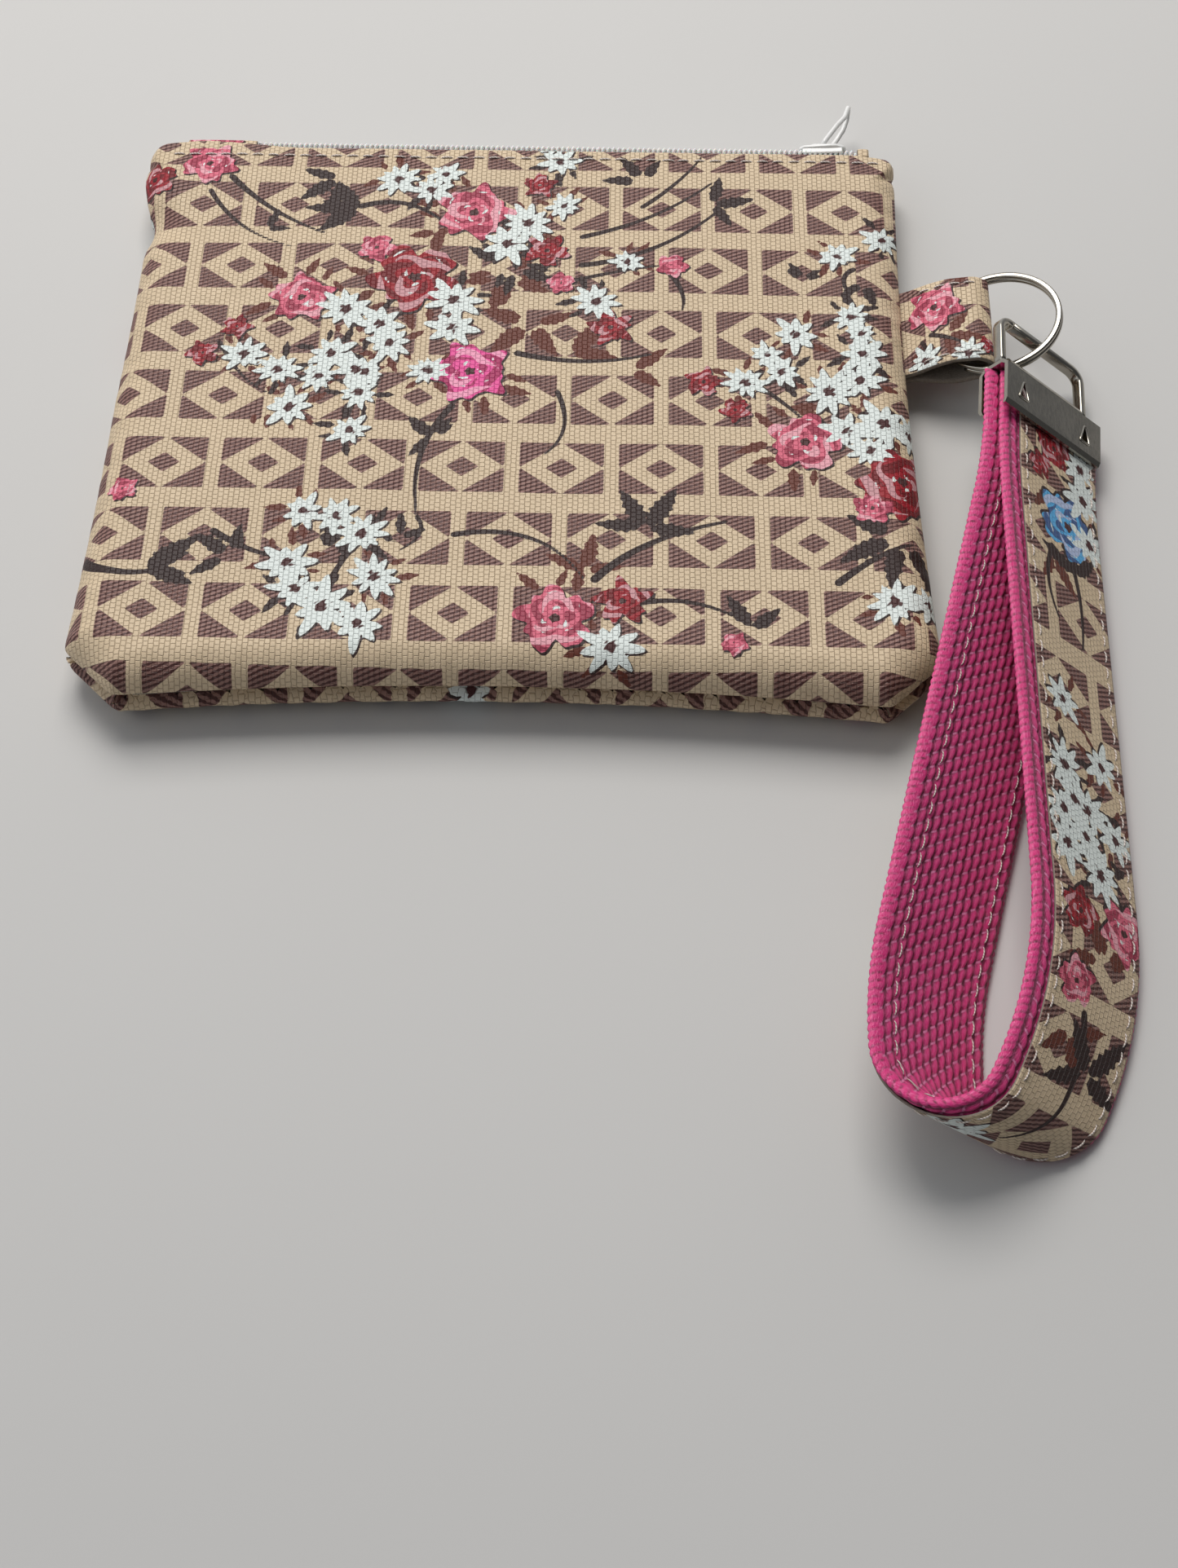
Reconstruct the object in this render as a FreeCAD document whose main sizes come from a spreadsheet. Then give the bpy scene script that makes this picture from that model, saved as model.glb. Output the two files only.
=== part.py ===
import FreeCAD, Part
import math
import os

import Sketcher

# A flat zipper pouch with a wrist strap.  Millimetres, +Z up.  The pouch lies on its back panel
# on Z = 0, +Y points to the zipper and +X to the side tab that carries the strap hardware.
# The origin is on the resting face, under the middle of the pouch.

Vec = FreeCAD.Vector

SIZES = [
    # alias, value, what it is
    ("half_top", 77.0, "half width of the pouch at the zipper edge"),
    ("half_low", 79.0, "half width of the pouch at the lower corners"),
    ("edge_y", 70.0, "zipper edge of the panels"),
    ("foot_y", -68.5, "lowest point of the lower corners"),
    ("foot_bow", 3.5, "how far the lower edge curves in at its middle"),
    ("side_bow", 1.6, "how far each side curves in at its middle"),
    ("corner_cut", 12.0, "chamfer of the lower corners"),
    ("corner_round", 5.0, "radius of the upper corners"),
    ("seam_z", 6.8, "height of the side and lower seams"),
    ("roof_low", 14.5, "top of the pouch beside the lower edge"),
    ("roof_high", 10.6, "top of the pouch beside the zipper"),
    ("roll", 7.5, "inset of the rolled side and lower edges"),
    ("lip_roll", 1.5, "inset of the rolled edge beside the zipper"),
    ("skin", 1.0, "thickness of the coated canvas"),
    ("lining_skin", 0.4, "thickness of the lining"),
    ("layer_gap", 0.1, "clearance between layers that lie on each other"),
    ("lining_top", 57.0, "where the lining stops, below the zipper tape"),
    ("mouth_half", 73.0, "half width of the mouth"),
    ("mouth_low", 3.4, "lower lip of the mouth"),
    ("mouth_high", 9.6, "upper lip of the mouth"),
    ("zip_z", 7.0, "height of the zipper's centre line"),
    ("tape_half", 68.7, "half length of the zipper tapes"),
    ("tape_skin", 0.5, "thickness of the zipper tape"),
    ("tape_in", 57.5, "inner edge of the zipper tape"),
    ("tape_face", 70.8, "outer face of the tape behind the coil"),
    ("tape_rise", 2.35, "from the zipper's centre line to the folded leg of a tape"),
    ("coil_gap", 0.5, "from the zipper's centre line to a coil"),
    ("coil_wide", 1.8, "width of one coil"),
    ("coil_deep", 1.5, "thickness of the coils"),
    ("coil_left", -56.0, "left end of the coils"),
    ("coil_right", 68.3, "right end of the coils"),
    ("end_tab_long", 14.0, "length of the left end tab"),
    ("end_tab_short", 2.0, "length of the right end tab"),
    ("end_tab_deep", 1.7, "thickness of the end tabs"),
    ("end_tab_wide", 5.8, "width of the end tabs across the zipper"),
    ("hair", 0.05, "clearance between pieces that rest on each other"),
    ("slider_x", 61.5, "middle of the slider when the zipper is closed"),
    ("slider_long", 10.0, "length of the slider"),
    ("slider_wide", 6.2, "width of the slider"),
    ("slider_plate", 0.8, "thickness of the slider's plates"),
    ("slider_flange", 0.6, "thickness of the slider's flanges"),
    ("slider_free", 0.25, "clearance between the coils and the slider's outer plate"),
    ("slider_inner", 3.5, "width of the slider's inner plate"),
    ("flange_step", 0.5, "from the tape's face to a flange"),
    ("wedge_skin", 0.6, "thickness of the wedge between the coils"),
    ("crown_long", 6.0, "length of the bridge that holds the pull"),
    ("crown_wide", 1.6, "width of the bridge"),
    ("crown_high", 2.4, "height of the bridge"),
    ("crown_wall", 0.9, "thickness of the bridge"),
    ("crown_soft", 1.4, "length of the bridge's softened corners"),
    ("pull_wire", 1.1, "diameter of the pull's wire"),
    ("pull_long", 13.5, "length of the pull"),
    ("pull_wide", 4.6, "width of the pull between wire centres"),
    ("pull_lean", 30.0, "how far the pull leans to the right at rest"),
    ("stitch", 0.35, "thickness of a line of thread"),
    ("stitch_inset", 3.0, "from an edge to its line of stitching"),
    ("tab_y", 22.8, "middle of the side tab"),
    ("tab_wide", 21.6, "width of the side tab"),
    ("tab_long", 16.0, "reach of the folded tab"),
    ("tab_belly", 3.4, "half thickness of the tab at its widest"),
    ("tab_root", 1.3, "half thickness of the tab at the side seam"),
    ("tab_rise", 14.0, "upward slope of the tab"),
    ("tab_seam", 8.5, "length of a line of thread on the tab"),
    ("tab_seam_in", 1.6, "from the tab's long edge to its thread"),
    ("ring_x", 94.0, "middle of the split ring"),
    ("ring_z", 11.0, "height of the split ring's middle"),
    ("ring_tilt", 17.0, "upward slope of the split ring"),
    ("ring_out", 12.5, "outer radius of the split ring"),
    ("ring_wire", 1.3, "width of the ring's wire"),
    ("ring_coil", 1.0, "height of one of the ring's two turns"),
    ("ring_groove", 0.18, "depth of the groove between the ring's turns"),
    ("lean", 40.0, "slope of the strap's width and of its hardware"),
    ("strap_yaw", -5.0, "turn of the strap about Z"),
    ("strap_pitch", 1.1, "rise of the strap towards its clamp"),
    ("strap_x", 110.6, "strap frame origin, X"),
    ("strap_y", 2.4, "strap frame origin, Y"),
    ("strap_z", 3.1, "strap frame origin, Z"),
    ("web_wide", 25.4, "width of the webbing"),
    ("web_half", 1.3, "half thickness of the webbing, measured level"),
    ("print_wide", 21.4, "width of the printed strip"),
    ("print_skin", 0.7, "thickness of the printed strip, measured level"),
    ("clamp_long", 26.4, "length of the strap clamp"),
    ("clamp_high", 11.0, "height of the clamp's plates"),
    ("clamp_gap", 5.6, "space between the clamp's plates"),
    ("clamp_skin", 0.8, "thickness of the clamp's steel"),
    ("shoulder", 1.3, "softened corner of the clamp's back"),
    ("jaw", 0.9, "length of the clamp's tapered jaws"),
    ("jaw_lip", 0.3, "half thickness of the jaws' edges"),
    ("tooth_x", 4.6, "from the clamp's end to the middle of a tooth"),
    ("tooth_half", 1.0, "half width of a tooth's window"),
    ("tooth_low", 7.6, "far end of a tooth's window"),
    ("tooth_high", 3.6, "near end of a tooth's window"),
    ("knuckle", 1.55, "outer radius of the clamp's knuckle"),
    ("knuckle_y", 1.5, "from the clamp's top to its pivot"),
    ("pin", 0.75, "radius of the bail's pins"),
    ("pin_gap", 0.08, "clearance round the pins"),
    ("bail_long", 24.4, "outer length of the bail"),
    ("bail_high", 12.2, "from the pivot to the far side of the bail"),
    ("bail_wire", 1.5, "thickness of the bail's wire in its own plane"),
    ("bail_deep", 2.0, "thickness of the bail's wire across its plane"),
    ("bail_soft", 2.4, "outer corner of the bail"),
    ("bail_inner", 1.2, "inner corner of the bail"),
    ("bail_tail", 0.9, "how far the bail's legs reach past their pins"),
    ("bail_droop", 3.0, "how far the bail hangs below the plane of the clamp"),
]

doc = FreeCAD.newDocument("wristlet_wallet")
sheet = doc.addObject("Spreadsheet::Sheet", "sizes")
for row, (alias, value, note) in enumerate(SIZES, start=1):
    sheet.set(f"A{row}", alias)
    sheet.set(f"B{row}", str(value))
    sheet.set(f"C{row}", note)
    sheet.setAlias(f"B{row}", alias)
doc.recompute()

size = {alias: float(sheet.get(alias)) for alias, value, note in SIZES}
nodes = []


def keep(item, name):
    """Give a finished sub-part the label that names its file."""
    item.Label = name
    nodes.append(item)
    return item


def body(name):
    return doc.addObject("PartDesign::Body", "body_" + name)


def plane_of(owner, role):
    return next(f for f in owner.Origin.OriginFeatures if f.Role == role)


def outline_sketch(owner, role, name, corners):
    """A closed polygon whose corners are pairs of expressions, every one bound to the sheet."""
    sketch = owner.newObject("Sketcher::SketchObject", name)
    sketch.AttachmentSupport = [(plane_of(owner, role), "")]
    sketch.MapMode = "FlatFace"
    count = len(corners)
    start = [
        Vec(10 * math.cos(2 * math.pi * k / count), 10 * math.sin(2 * math.pi * k / count), 0)
        for k in range(count)
    ]
    for k in range(count):
        sketch.addGeometry(Part.LineSegment(start[k], start[(k + 1) % count]))
    for k in range(count):
        sketch.addConstraint(Sketcher.Constraint("Coincident", k, 2, (k + 1) % count, 1))
    for k, (across, along) in enumerate(corners):
        for kind, expression in (("DistanceX", across), ("DistanceY", along)):
            index = sketch.addConstraint(Sketcher.Constraint(kind, -1, 1, k, 1, 1.0))
            sketch.setExpression(f"Constraints[{index}]", expression)
    return sketch


def pad(owner, sketch, length, midplane=True):
    feature = owner.newObject("PartDesign::Pad", sketch.Name + "_pad")
    feature.Profile = sketch
    feature.Midplane = midplane
    feature.setExpression("Length", length)
    return feature


def box(name, corner, extent):
    """A box whose corner and extent are expressions."""
    item = doc.addObject("Part::Box", name)
    for key, expression in zip(("Length", "Width", "Height"), extent):
        item.setExpression(key, expression)
    for key, expression in zip("xyz", corner):
        item.setExpression("Placement.Base." + key, expression)
    return item


def fuse(name, shapes):
    item = doc.addObject("Part::MultiFuse", name)
    item.Shapes = shapes
    return item


def cut(name, base, tool):
    item = doc.addObject("Part::Cut", name)
    item.Base = base
    item.Tool = tool
    return item


def plain(name, shape):
    """A sub-part made with Part's own functions."""
    item = doc.addObject("Part::Feature", name)
    item.Shape = shape
    return item


# ---------------------------------------------------------------- pouch panels and lining

def seam_plane(offset):
    return lambda y: size["seam_z"] + offset


def roof_plane(offset):
    """The front panel's sloping top, lowest beside the zipper."""
    high_y = size["edge_y"] - size["lip_roll"]
    low_y = size["foot_y"] + size["roll"]
    slope = (size["roof_low"] - size["roof_high"]) / (high_y - low_y)
    return lambda y: size["roof_high"] + slope * (high_y - y) + offset


def floor_plane(offset):
    return lambda y: offset


def pouch_outline(inset, top_inset, height):
    """The pouch's outline, inset from its sides, on the plane that height(y) gives."""
    def at(x, y):
        return Vec(x, y, height(y))

    top = size["edge_y"] - top_inset
    foot = size["foot_y"] + inset
    wide = size["half_top"] - inset
    low = size["half_low"] - inset
    chamfer = size["corner_cut"] - 0.4 * inset
    rounding = size["corner_round"]
    corner = rounding * (1 - math.sqrt(0.5))
    waist = (wide + low) / 2 - size["side_bow"]
    shoulder = foot + chamfer
    middle = (top - rounding + shoulder) / 2
    edges = [
        Part.LineSegment(at(-wide + rounding, top), at(wide - rounding, top)),
        Part.Arc(at(wide - rounding, top), at(wide - corner, top - corner), at(wide, top - rounding)),
        Part.Arc(at(wide, top - rounding), at(waist, middle), at(low, shoulder)),
        Part.LineSegment(at(low, shoulder), at(low - chamfer, foot)),
        Part.Arc(at(low - chamfer, foot), at(0, foot + size["foot_bow"]), at(chamfer - low, foot)),
        Part.LineSegment(at(chamfer - low, foot), at(-low, shoulder)),
        Part.Arc(at(-low, shoulder), at(-waist, middle), at(-wide, top - rounding)),
        Part.Arc(at(-wide, top - rounding), at(corner - wide, top - corner), at(rounding - wide, top)),
    ]
    return Part.Wire([edge.toShape() for edge in edges])


def tray(depth, skin, cap_plane, sign):
    """A rolled-edge shell, open at the seam.  depth is its distance inside the pouch's surface."""
    def block(inside):
        base = pouch_outline(inside, inside, seam_plane(sign * size["layer_gap"] / 2))
        cap = pouch_outline(size["roll"] + inside / 2, size["lip_roll"] + inside, cap_plane(-sign * inside))
        return Part.makeLoft([base, cap], True, True)

    return block(depth).cut(block(depth + skin))


def clear_box(low_y, low_z, high_z):
    """The space cleared for the zipper, from low_y out past the edge."""
    return Part.makeBox(
        2 * size["mouth_half"], size["edge_y"] + 5 - low_y, high_z - low_z,
        Vec(-size["mouth_half"], low_y, low_z))


mouth = clear_box(size["edge_y"] - 4, size["mouth_low"], size["mouth_high"])
lining_end = Part.makeBox(400, 60, 60, Vec(-200, size["lining_top"], -20))
lining_depth = size["skin"] + size["layer_gap"]

keep(plain("front_panel", tray(0, size["skin"], roof_plane, 1).cut(mouth)), "front_panel")
keep(plain("back_panel", tray(0, size["skin"], floor_plane, -1).cut(mouth)), "back_panel")
keep(plain("lining_front", tray(lining_depth, size["lining_skin"], roof_plane, 1).cut(lining_end)),
     "lining_front")
keep(plain("lining_back", tray(lining_depth, size["lining_skin"], floor_plane, -1).cut(lining_end)),
     "lining_back")

# ---------------------------------------------------------------- zipper

TAPE_LENGTH = "2 * sizes.tape_half"
for side, sign in (("front", ""), ("back", "-")):
    # The tape runs inside the panel and folds down behind its coil.
    leg = f"sizes.zip_z + ({sign}1) * sizes.tape_rise"
    leg_inner = f"sizes.zip_z + ({sign}1) * (sizes.tape_rise - sizes.tape_skin)"
    heel = f"sizes.zip_z + ({sign}1) * sizes.coil_gap"
    tape = body("zipper_tape_" + side)
    profile = outline_sketch(tape, "YZ_Plane", "tape_outline_" + side, [
        ("sizes.tape_in", leg),
        ("sizes.tape_face", leg),
        ("sizes.tape_face", heel),
        ("sizes.tape_face - sizes.tape_skin", heel),
        ("sizes.tape_face - sizes.tape_skin", leg_inner),
        ("sizes.tape_in", leg_inner),
    ])
    pad(tape, profile, TAPE_LENGTH)
    keep(tape, "zipper_tape_" + side)

    low = "sizes.zip_z + sizes.coil_gap"
    if side == "back":
        low = "sizes.zip_z - sizes.coil_gap - sizes.coil_wide"
    bar = box("coil_bar_" + side, ("sizes.coil_left", "sizes.tape_face + sizes.hair", low),
              ("sizes.coil_right - sizes.coil_left", "sizes.coil_deep", "sizes.coil_wide"))
    doc.recompute()
    coil = doc.addObject("Part::Fillet", "coil_round_" + side)
    coil.Base = bar
    long_edges = [
        index for index, edge in enumerate(bar.Shape.Edges, start=1)
        if edge.Length > 50 and edge.CenterOfMass.y > size["tape_face"] + size["coil_deep"] / 2
    ]
    coil.Edges = [(index, 0.6, 0.6) for index in long_edges]
    keep(coil, "zipper_coil_" + side)

for side, left, length in (
    ("left", "sizes.coil_left - 0.3 - sizes.end_tab_long", "sizes.end_tab_long"),
    ("right", "sizes.coil_right + 0.3", "sizes.end_tab_short"),
):
    # A strip of canvas folded over the end of the coils and sewn down.
    corner = (left, "sizes.tape_face + sizes.hair", "sizes.zip_z - sizes.end_tab_wide / 2")
    cover = box("end_tab_" + side, corner,
                (length, "sizes.end_tab_deep", "sizes.end_tab_wide"))
    keep(cover, "zipper_end_tab_" + side)

# The slider's outer plate with its two flanges, the inner plate and the wedge between the coils.
plate_y = "sizes.tape_face + sizes.hair + sizes.coil_deep + sizes.slider_free"
slider_left = "sizes.slider_x - sizes.slider_long / 2"
slider_low = "sizes.zip_z - sizes.slider_wide / 2"
flange_y = "sizes.tape_face + sizes.flange_step"
plate = box("slider_plate_outer", (slider_left, plate_y, slider_low),
            ("sizes.slider_long", "sizes.slider_plate", "sizes.slider_wide"))
flanges = [
    box("slider_flange_" + name, (slider_left, flange_y, place),
        ("sizes.slider_long", "sizes.coil_deep - 2 * sizes.hair", "sizes.slider_flange"))
    for name, place in (
        ("low", slider_low),
        ("high", "sizes.zip_z + sizes.slider_wide / 2 - sizes.slider_flange"),
    )
]
inner_y = "sizes.tape_face - sizes.tape_skin - sizes.slider_free - sizes.hair - sizes.slider_plate"
inner = box("slider_plate_inner", (slider_left, inner_y, "sizes.zip_z - sizes.slider_inner / 2"),
            ("sizes.slider_long", "sizes.slider_plate", "sizes.slider_inner"))
wedge_corner = ("sizes.slider_x + sizes.flange_step", inner_y, "sizes.zip_z - sizes.wedge_skin / 2")
wedge = box("slider_wedge", wedge_corner,
            ("0.35 * sizes.slider_long", f"{plate_y} - ({inner_y}) + 2 * sizes.hair", "sizes.wedge_skin"))
keep(fuse("slider_fuse", [plate, flanges[0], flanges[1], inner, wedge]), "slider_body")

# The bridge on the slider that the pull hooks under.
crown = body("slider_crown")
foot = f"{plate_y} + sizes.slider_plate"
crown_left = "sizes.slider_x - sizes.crown_long / 2"
crown_right = "sizes.slider_x + sizes.crown_long / 2"
crown_top = f"{foot} + sizes.crown_high"
profile = outline_sketch(crown, "XY_Plane", "crown_outline", [
    (crown_left, foot),
    (f"{crown_left} + sizes.crown_wall", foot),
    (f"{crown_left} + sizes.crown_wall", f"{crown_top} - sizes.crown_wall"),
    (f"{crown_right} - sizes.crown_wall", f"{crown_top} - sizes.crown_wall"),
    (f"{crown_right} - sizes.crown_wall", foot),
    (crown_right, foot),
    (f"{crown_right} - 0.4 * sizes.crown_soft", f"{crown_top} - 0.3 * sizes.crown_soft"),
    (f"{crown_right} - sizes.crown_soft", crown_top),
    (f"{crown_left} + sizes.crown_soft", crown_top),
    (f"{crown_left} + 0.4 * sizes.crown_soft", f"{crown_top} - 0.3 * sizes.crown_soft"),
])
pad(crown, profile, "sizes.crown_wide")
crown.setExpression("Placement.Base.z", "sizes.zip_z")
keep(crown, "slider_crown")

# The pull is one closed loop of wire: a long oval, its near end through the bridge.
plate_top = (size["tape_face"] + size["hair"] + size["coil_deep"] + size["slider_free"]
             + size["slider_plate"])
pull_pivot = Vec(size["slider_x"], plate_top + (size["crown_high"] - size["crown_wall"]) / 2, size["zip_z"])


def oval_loop(length, width, wire, near_round):
    """A flat wire loop along +Y from the origin, in the YZ plane, round at its far end."""
    half = width / 2
    corner = near_round * (1 - math.sqrt(0.5))
    far = length - half
    path = Part.Wire([
        Part.LineSegment(Vec(0, 0, near_round - half), Vec(0, 0, half - near_round)).toShape(),
        Part.Arc(Vec(0, 0, half - near_round), Vec(0, corner, half - corner),
                 Vec(0, near_round, half)).toShape(),
        Part.LineSegment(Vec(0, near_round, half), Vec(0, far, half)).toShape(),
        Part.Arc(Vec(0, far, half), Vec(0, length, 0), Vec(0, far, -half)).toShape(),
        Part.LineSegment(Vec(0, far, -half), Vec(0, near_round, -half)).toShape(),
        Part.Arc(Vec(0, near_round, -half), Vec(0, corner, corner - half),
                 Vec(0, 0, near_round - half)).toShape(),
    ])
    ring = Part.Wire(Part.makeCircle(wire / 2, Vec(0, 0, 0), Vec(0, 0, 1)))
    return path.makePipeShell([ring], True, False)


pull = plain("pull_loop", oval_loop(size["pull_long"], size["pull_wide"], size["pull_wire"], 1.0))
pull.Placement = FreeCAD.Placement(pull_pivot, FreeCAD.Rotation(Vec(0, 0, 1), -size["pull_lean"]))
keep(pull, "pull_loop")

# ---------------------------------------------------------------- stitching along the mouth

roof_at = roof_plane(0)
stitch_y = size["edge_y"] - size["lip_roll"] - size["stitch_inset"]
front_thread = box("thread_front", ("-sizes.tape_half", str(stitch_y), str(roof_at(stitch_y) + 0.02)),
                   ("2 * sizes.tape_half", "sizes.stitch", "sizes.stitch"))
keep(front_thread, "topstitch_front")
back_thread = box("thread_back", ("-sizes.tape_half", "sizes.edge_y - sizes.lip_roll + 0.42", "1.2"),
                  ("2 * sizes.tape_half", "sizes.stitch", "sizes.stitch"))
keep(back_thread, "topstitch_back")

# ---------------------------------------------------------------- side tab

tab_origin = Vec(size["half_top"] + 0.4, size["tab_y"], size["seam_z"])
tab_turn = FreeCAD.Rotation(Vec(0, 1, 0), -size["tab_rise"])
tab_place = FreeCAD.Placement(tab_origin, tab_turn)


def tab_profile(skin):
    """The folded strip seen from its edge, a pointed oval, its layers skin inside the outer face."""
    def at(x, z):
        return Vec(x, -size["tab_wide"] / 2, z)

    root = size["tab_root"] - skin
    belly = size["tab_belly"] - skin
    reach = size["tab_long"] - skin
    start = 0 if skin == 0 else 1.2
    turn = reach - belly * 0.75
    edges = [
        Part.Arc(at(start, root), at(0.45 * reach, belly), at(turn, belly * 0.78)),
        Part.Arc(at(turn, belly * 0.78), at(reach, 0), at(turn, -belly * 0.78)),
        Part.Arc(at(turn, -belly * 0.78), at(0.45 * reach, -belly), at(start, -root)),
        Part.LineSegment(at(start, -root), at(start, root)),
    ]
    return Part.Face(Part.Wire([edge.toShape() for edge in edges]))


tab_face = tab_profile(0).cut(tab_profile(size["skin"]))
tab_shape = tab_face.extrude(Vec(0, size["tab_wide"], 0))
tab = plain("side_tab", tab_shape)
tab.Placement = tab_place
keep(tab, "side_tab")

# Two lines of thread close to the tab's long edges, on its upper face.
threads = []
for side in (-1, 1):
    across = side * (size["tab_wide"] / 2 - size["tab_seam_in"])
    start = Vec(2.0, across, size["tab_root"] + 1.15)
    thread = Part.makeBox(size["tab_seam"], size["stitch"], size["stitch"], start)
    thread.rotate(start, Vec(0, 1, 0), -9)
    threads.append(thread)
tab_thread = plain("tab_stitching", Part.makeCompound([t.cut(tab_shape) for t in threads]))
tab_thread.Placement = tab_place
keep(tab_thread, "tab_stitching")

# ---------------------------------------------------------------- split ring

ring = body("split_ring")
ring_inner = "sizes.ring_out - sizes.ring_wire"
profile = outline_sketch(ring, "XZ_Plane", "ring_outline", [
    (ring_inner, "-sizes.ring_coil"),
    ("sizes.ring_out", "-sizes.ring_coil"),
    ("sizes.ring_out", "-sizes.ring_groove"),
    ("sizes.ring_out - sizes.ring_groove", "0"),
    ("sizes.ring_out", "sizes.ring_groove"),
    ("sizes.ring_out", "sizes.ring_coil"),
    (ring_inner, "sizes.ring_coil"),
])
turn = ring.newObject("PartDesign::Revolution", "ring_turn_feature")
turn.Profile = profile
turn.ReferenceAxis = (profile, ["V_Axis"])
turn.Angle = 360
ring.Placement = FreeCAD.Placement(
    Vec(size["ring_x"], size["tab_y"], size["ring_z"]),
    FreeCAD.Rotation(Vec(0, 1, 0), -size["ring_tilt"]))
keep(ring, "split_ring")

# ---------------------------------------------------------------- strap frame
# The strap stands on its lower edge and leans.  Its frame has Y along the strap, towards the bail,
# and the width of the strap runs along ruling, from the low edge to the high one.

strap_place = FreeCAD.Placement(
    Vec(size["strap_x"], size["strap_y"], size["strap_z"]),
    FreeCAD.Rotation(Vec(0, 0, 1), size["strap_yaw"]).multiply(
        FreeCAD.Rotation(Vec(1, 0, 0), size["strap_pitch"])))
lean = math.radians(size["lean"])
ruling = Vec(-math.cos(lean), 0, math.sin(lean))
face_normal = Vec(math.sin(lean), 0, math.cos(lean))
hardware_turn = FreeCAD.Rotation(ruling, Vec(0, 1, 0), face_normal * -1, "XYZ")
# In the hardware frame X runs along the clamp, Y towards the bail and Z to the clamp's back.
hardware_place = strap_place.multiply(FreeCAD.Placement(Vec(0, 0, 0), hardware_turn))
pivot_place = hardware_place.multiply(
    FreeCAD.Placement(Vec(0, size["knuckle_y"], 0), FreeCAD.Rotation()))

# ---------------------------------------------------------------- clamp

clamp = body("strap_clamp")
half_out = "(sizes.clamp_gap / 2 + sizes.clamp_skin)"
half_in = "(sizes.clamp_gap / 2)"
throat = "(sizes.clamp_skin + 0.5 * sizes.shoulder)"
mouth_end = "-sizes.clamp_high"
jaw_end = "-sizes.clamp_high + sizes.jaw"
profile = outline_sketch(clamp, "YZ_Plane", "clamp_outline", [
    ("-sizes.shoulder", f"-{half_out}"),
    ("0", f"-{half_out} + sizes.shoulder"),
    ("0", f"{half_out} - sizes.shoulder"),
    ("-sizes.shoulder", half_out),
    (jaw_end, half_out),
    (mouth_end, f"{half_in} + sizes.jaw_lip"),
    (mouth_end, f"{half_in} - sizes.jaw_lip"),
    (jaw_end, half_in),
    (f"-{throat}", half_in),
    ("-sizes.clamp_skin", f"{half_in} - 0.6 * sizes.shoulder"),
    ("-sizes.clamp_skin", f"-{half_in} + 0.6 * sizes.shoulder"),
    (f"-{throat}", f"-{half_in}"),
    (jaw_end, f"-{half_in}"),
    (mouth_end, f"-{half_in} + sizes.jaw_lip"),
    (mouth_end, f"-{half_in} - sizes.jaw_lip"),
    (jaw_end, f"-{half_out}"),
])
pad(clamp, profile, "sizes.clamp_long", midplane=False)

# Two teeth are punched through each plate, so each leaves a narrow triangular window.
for index, place in enumerate(("sizes.tooth_x", "sizes.clamp_long - sizes.tooth_x")):
    tooth = outline_sketch(clamp, "XY_Plane", f"tooth_outline_{index}", [
        (f"{place} - sizes.tooth_half", "-sizes.tooth_low"),
        (f"{place} + sizes.tooth_half", "-sizes.tooth_low"),
        (place, "-sizes.tooth_high"),
    ])
    window = clamp.newObject("PartDesign::Pocket", f"tooth_window_{index}")
    window.Profile = tooth
    window.Type = "ThroughAll"
    window.Midplane = True
clamp.Placement = hardware_place

knuckle_start = 3.0
knuckle_length = size["clamp_long"] - 2 * knuckle_start
knuckle_shape = Part.makeCylinder(
    size["knuckle"], knuckle_length, Vec(knuckle_start, size["knuckle_y"], 0), Vec(1, 0, 0))
knuckle_bore = Part.makeCylinder(
    size["pin"] + size["pin_gap"], knuckle_length, Vec(knuckle_start, size["knuckle_y"], 0), Vec(1, 0, 0))
knuckle = plain("knuckle_tube", knuckle_shape.cut(knuckle_bore))
knuckle.Placement = hardware_place
keep(fuse("clamp_fuse", [clamp, knuckle]), "strap_clamp")

# ---------------------------------------------------------------- bail

bail_frame = body("bail_frame")
bail_left = "(sizes.clamp_long - sizes.bail_long) / 2"
bail_right = "(sizes.clamp_long + sizes.bail_long) / 2"
bar = "(sizes.bail_high - sizes.bail_wire)"
inner_left = f"{bail_left} + sizes.bail_wire"
inner_right = f"{bail_right} - sizes.bail_wire"
profile = outline_sketch(bail_frame, "XY_Plane", "bail_outline", [
    (bail_left, "-sizes.bail_tail"),
    (inner_left, "-sizes.bail_tail"),
    (inner_left, f"{bar} - sizes.bail_inner"),
    (f"{inner_left} + sizes.bail_inner", bar),
    (f"{inner_right} - sizes.bail_inner", bar),
    (inner_right, f"{bar} - sizes.bail_inner"),
    (inner_right, "-sizes.bail_tail"),
    (bail_right, "-sizes.bail_tail"),
    (bail_right, "sizes.bail_high - sizes.bail_soft"),
    (f"{bail_right} - 0.3 * sizes.bail_soft", "sizes.bail_high - 0.3 * sizes.bail_soft"),
    (f"{bail_right} - sizes.bail_soft", "sizes.bail_high"),
    (f"{bail_left} + sizes.bail_soft", "sizes.bail_high"),
    (f"{bail_left} + 0.3 * sizes.bail_soft", "sizes.bail_high - 0.3 * sizes.bail_soft"),
    (bail_left, "sizes.bail_high - sizes.bail_soft"),
])
pad(bail_frame, profile, "sizes.bail_deep")
droop_turn = FreeCAD.Rotation(Vec(1, 0, 0), size["bail_droop"])
bail_place = pivot_place.multiply(FreeCAD.Placement(Vec(0, 0, 0), droop_turn))
bail_frame.Placement = bail_place

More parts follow.
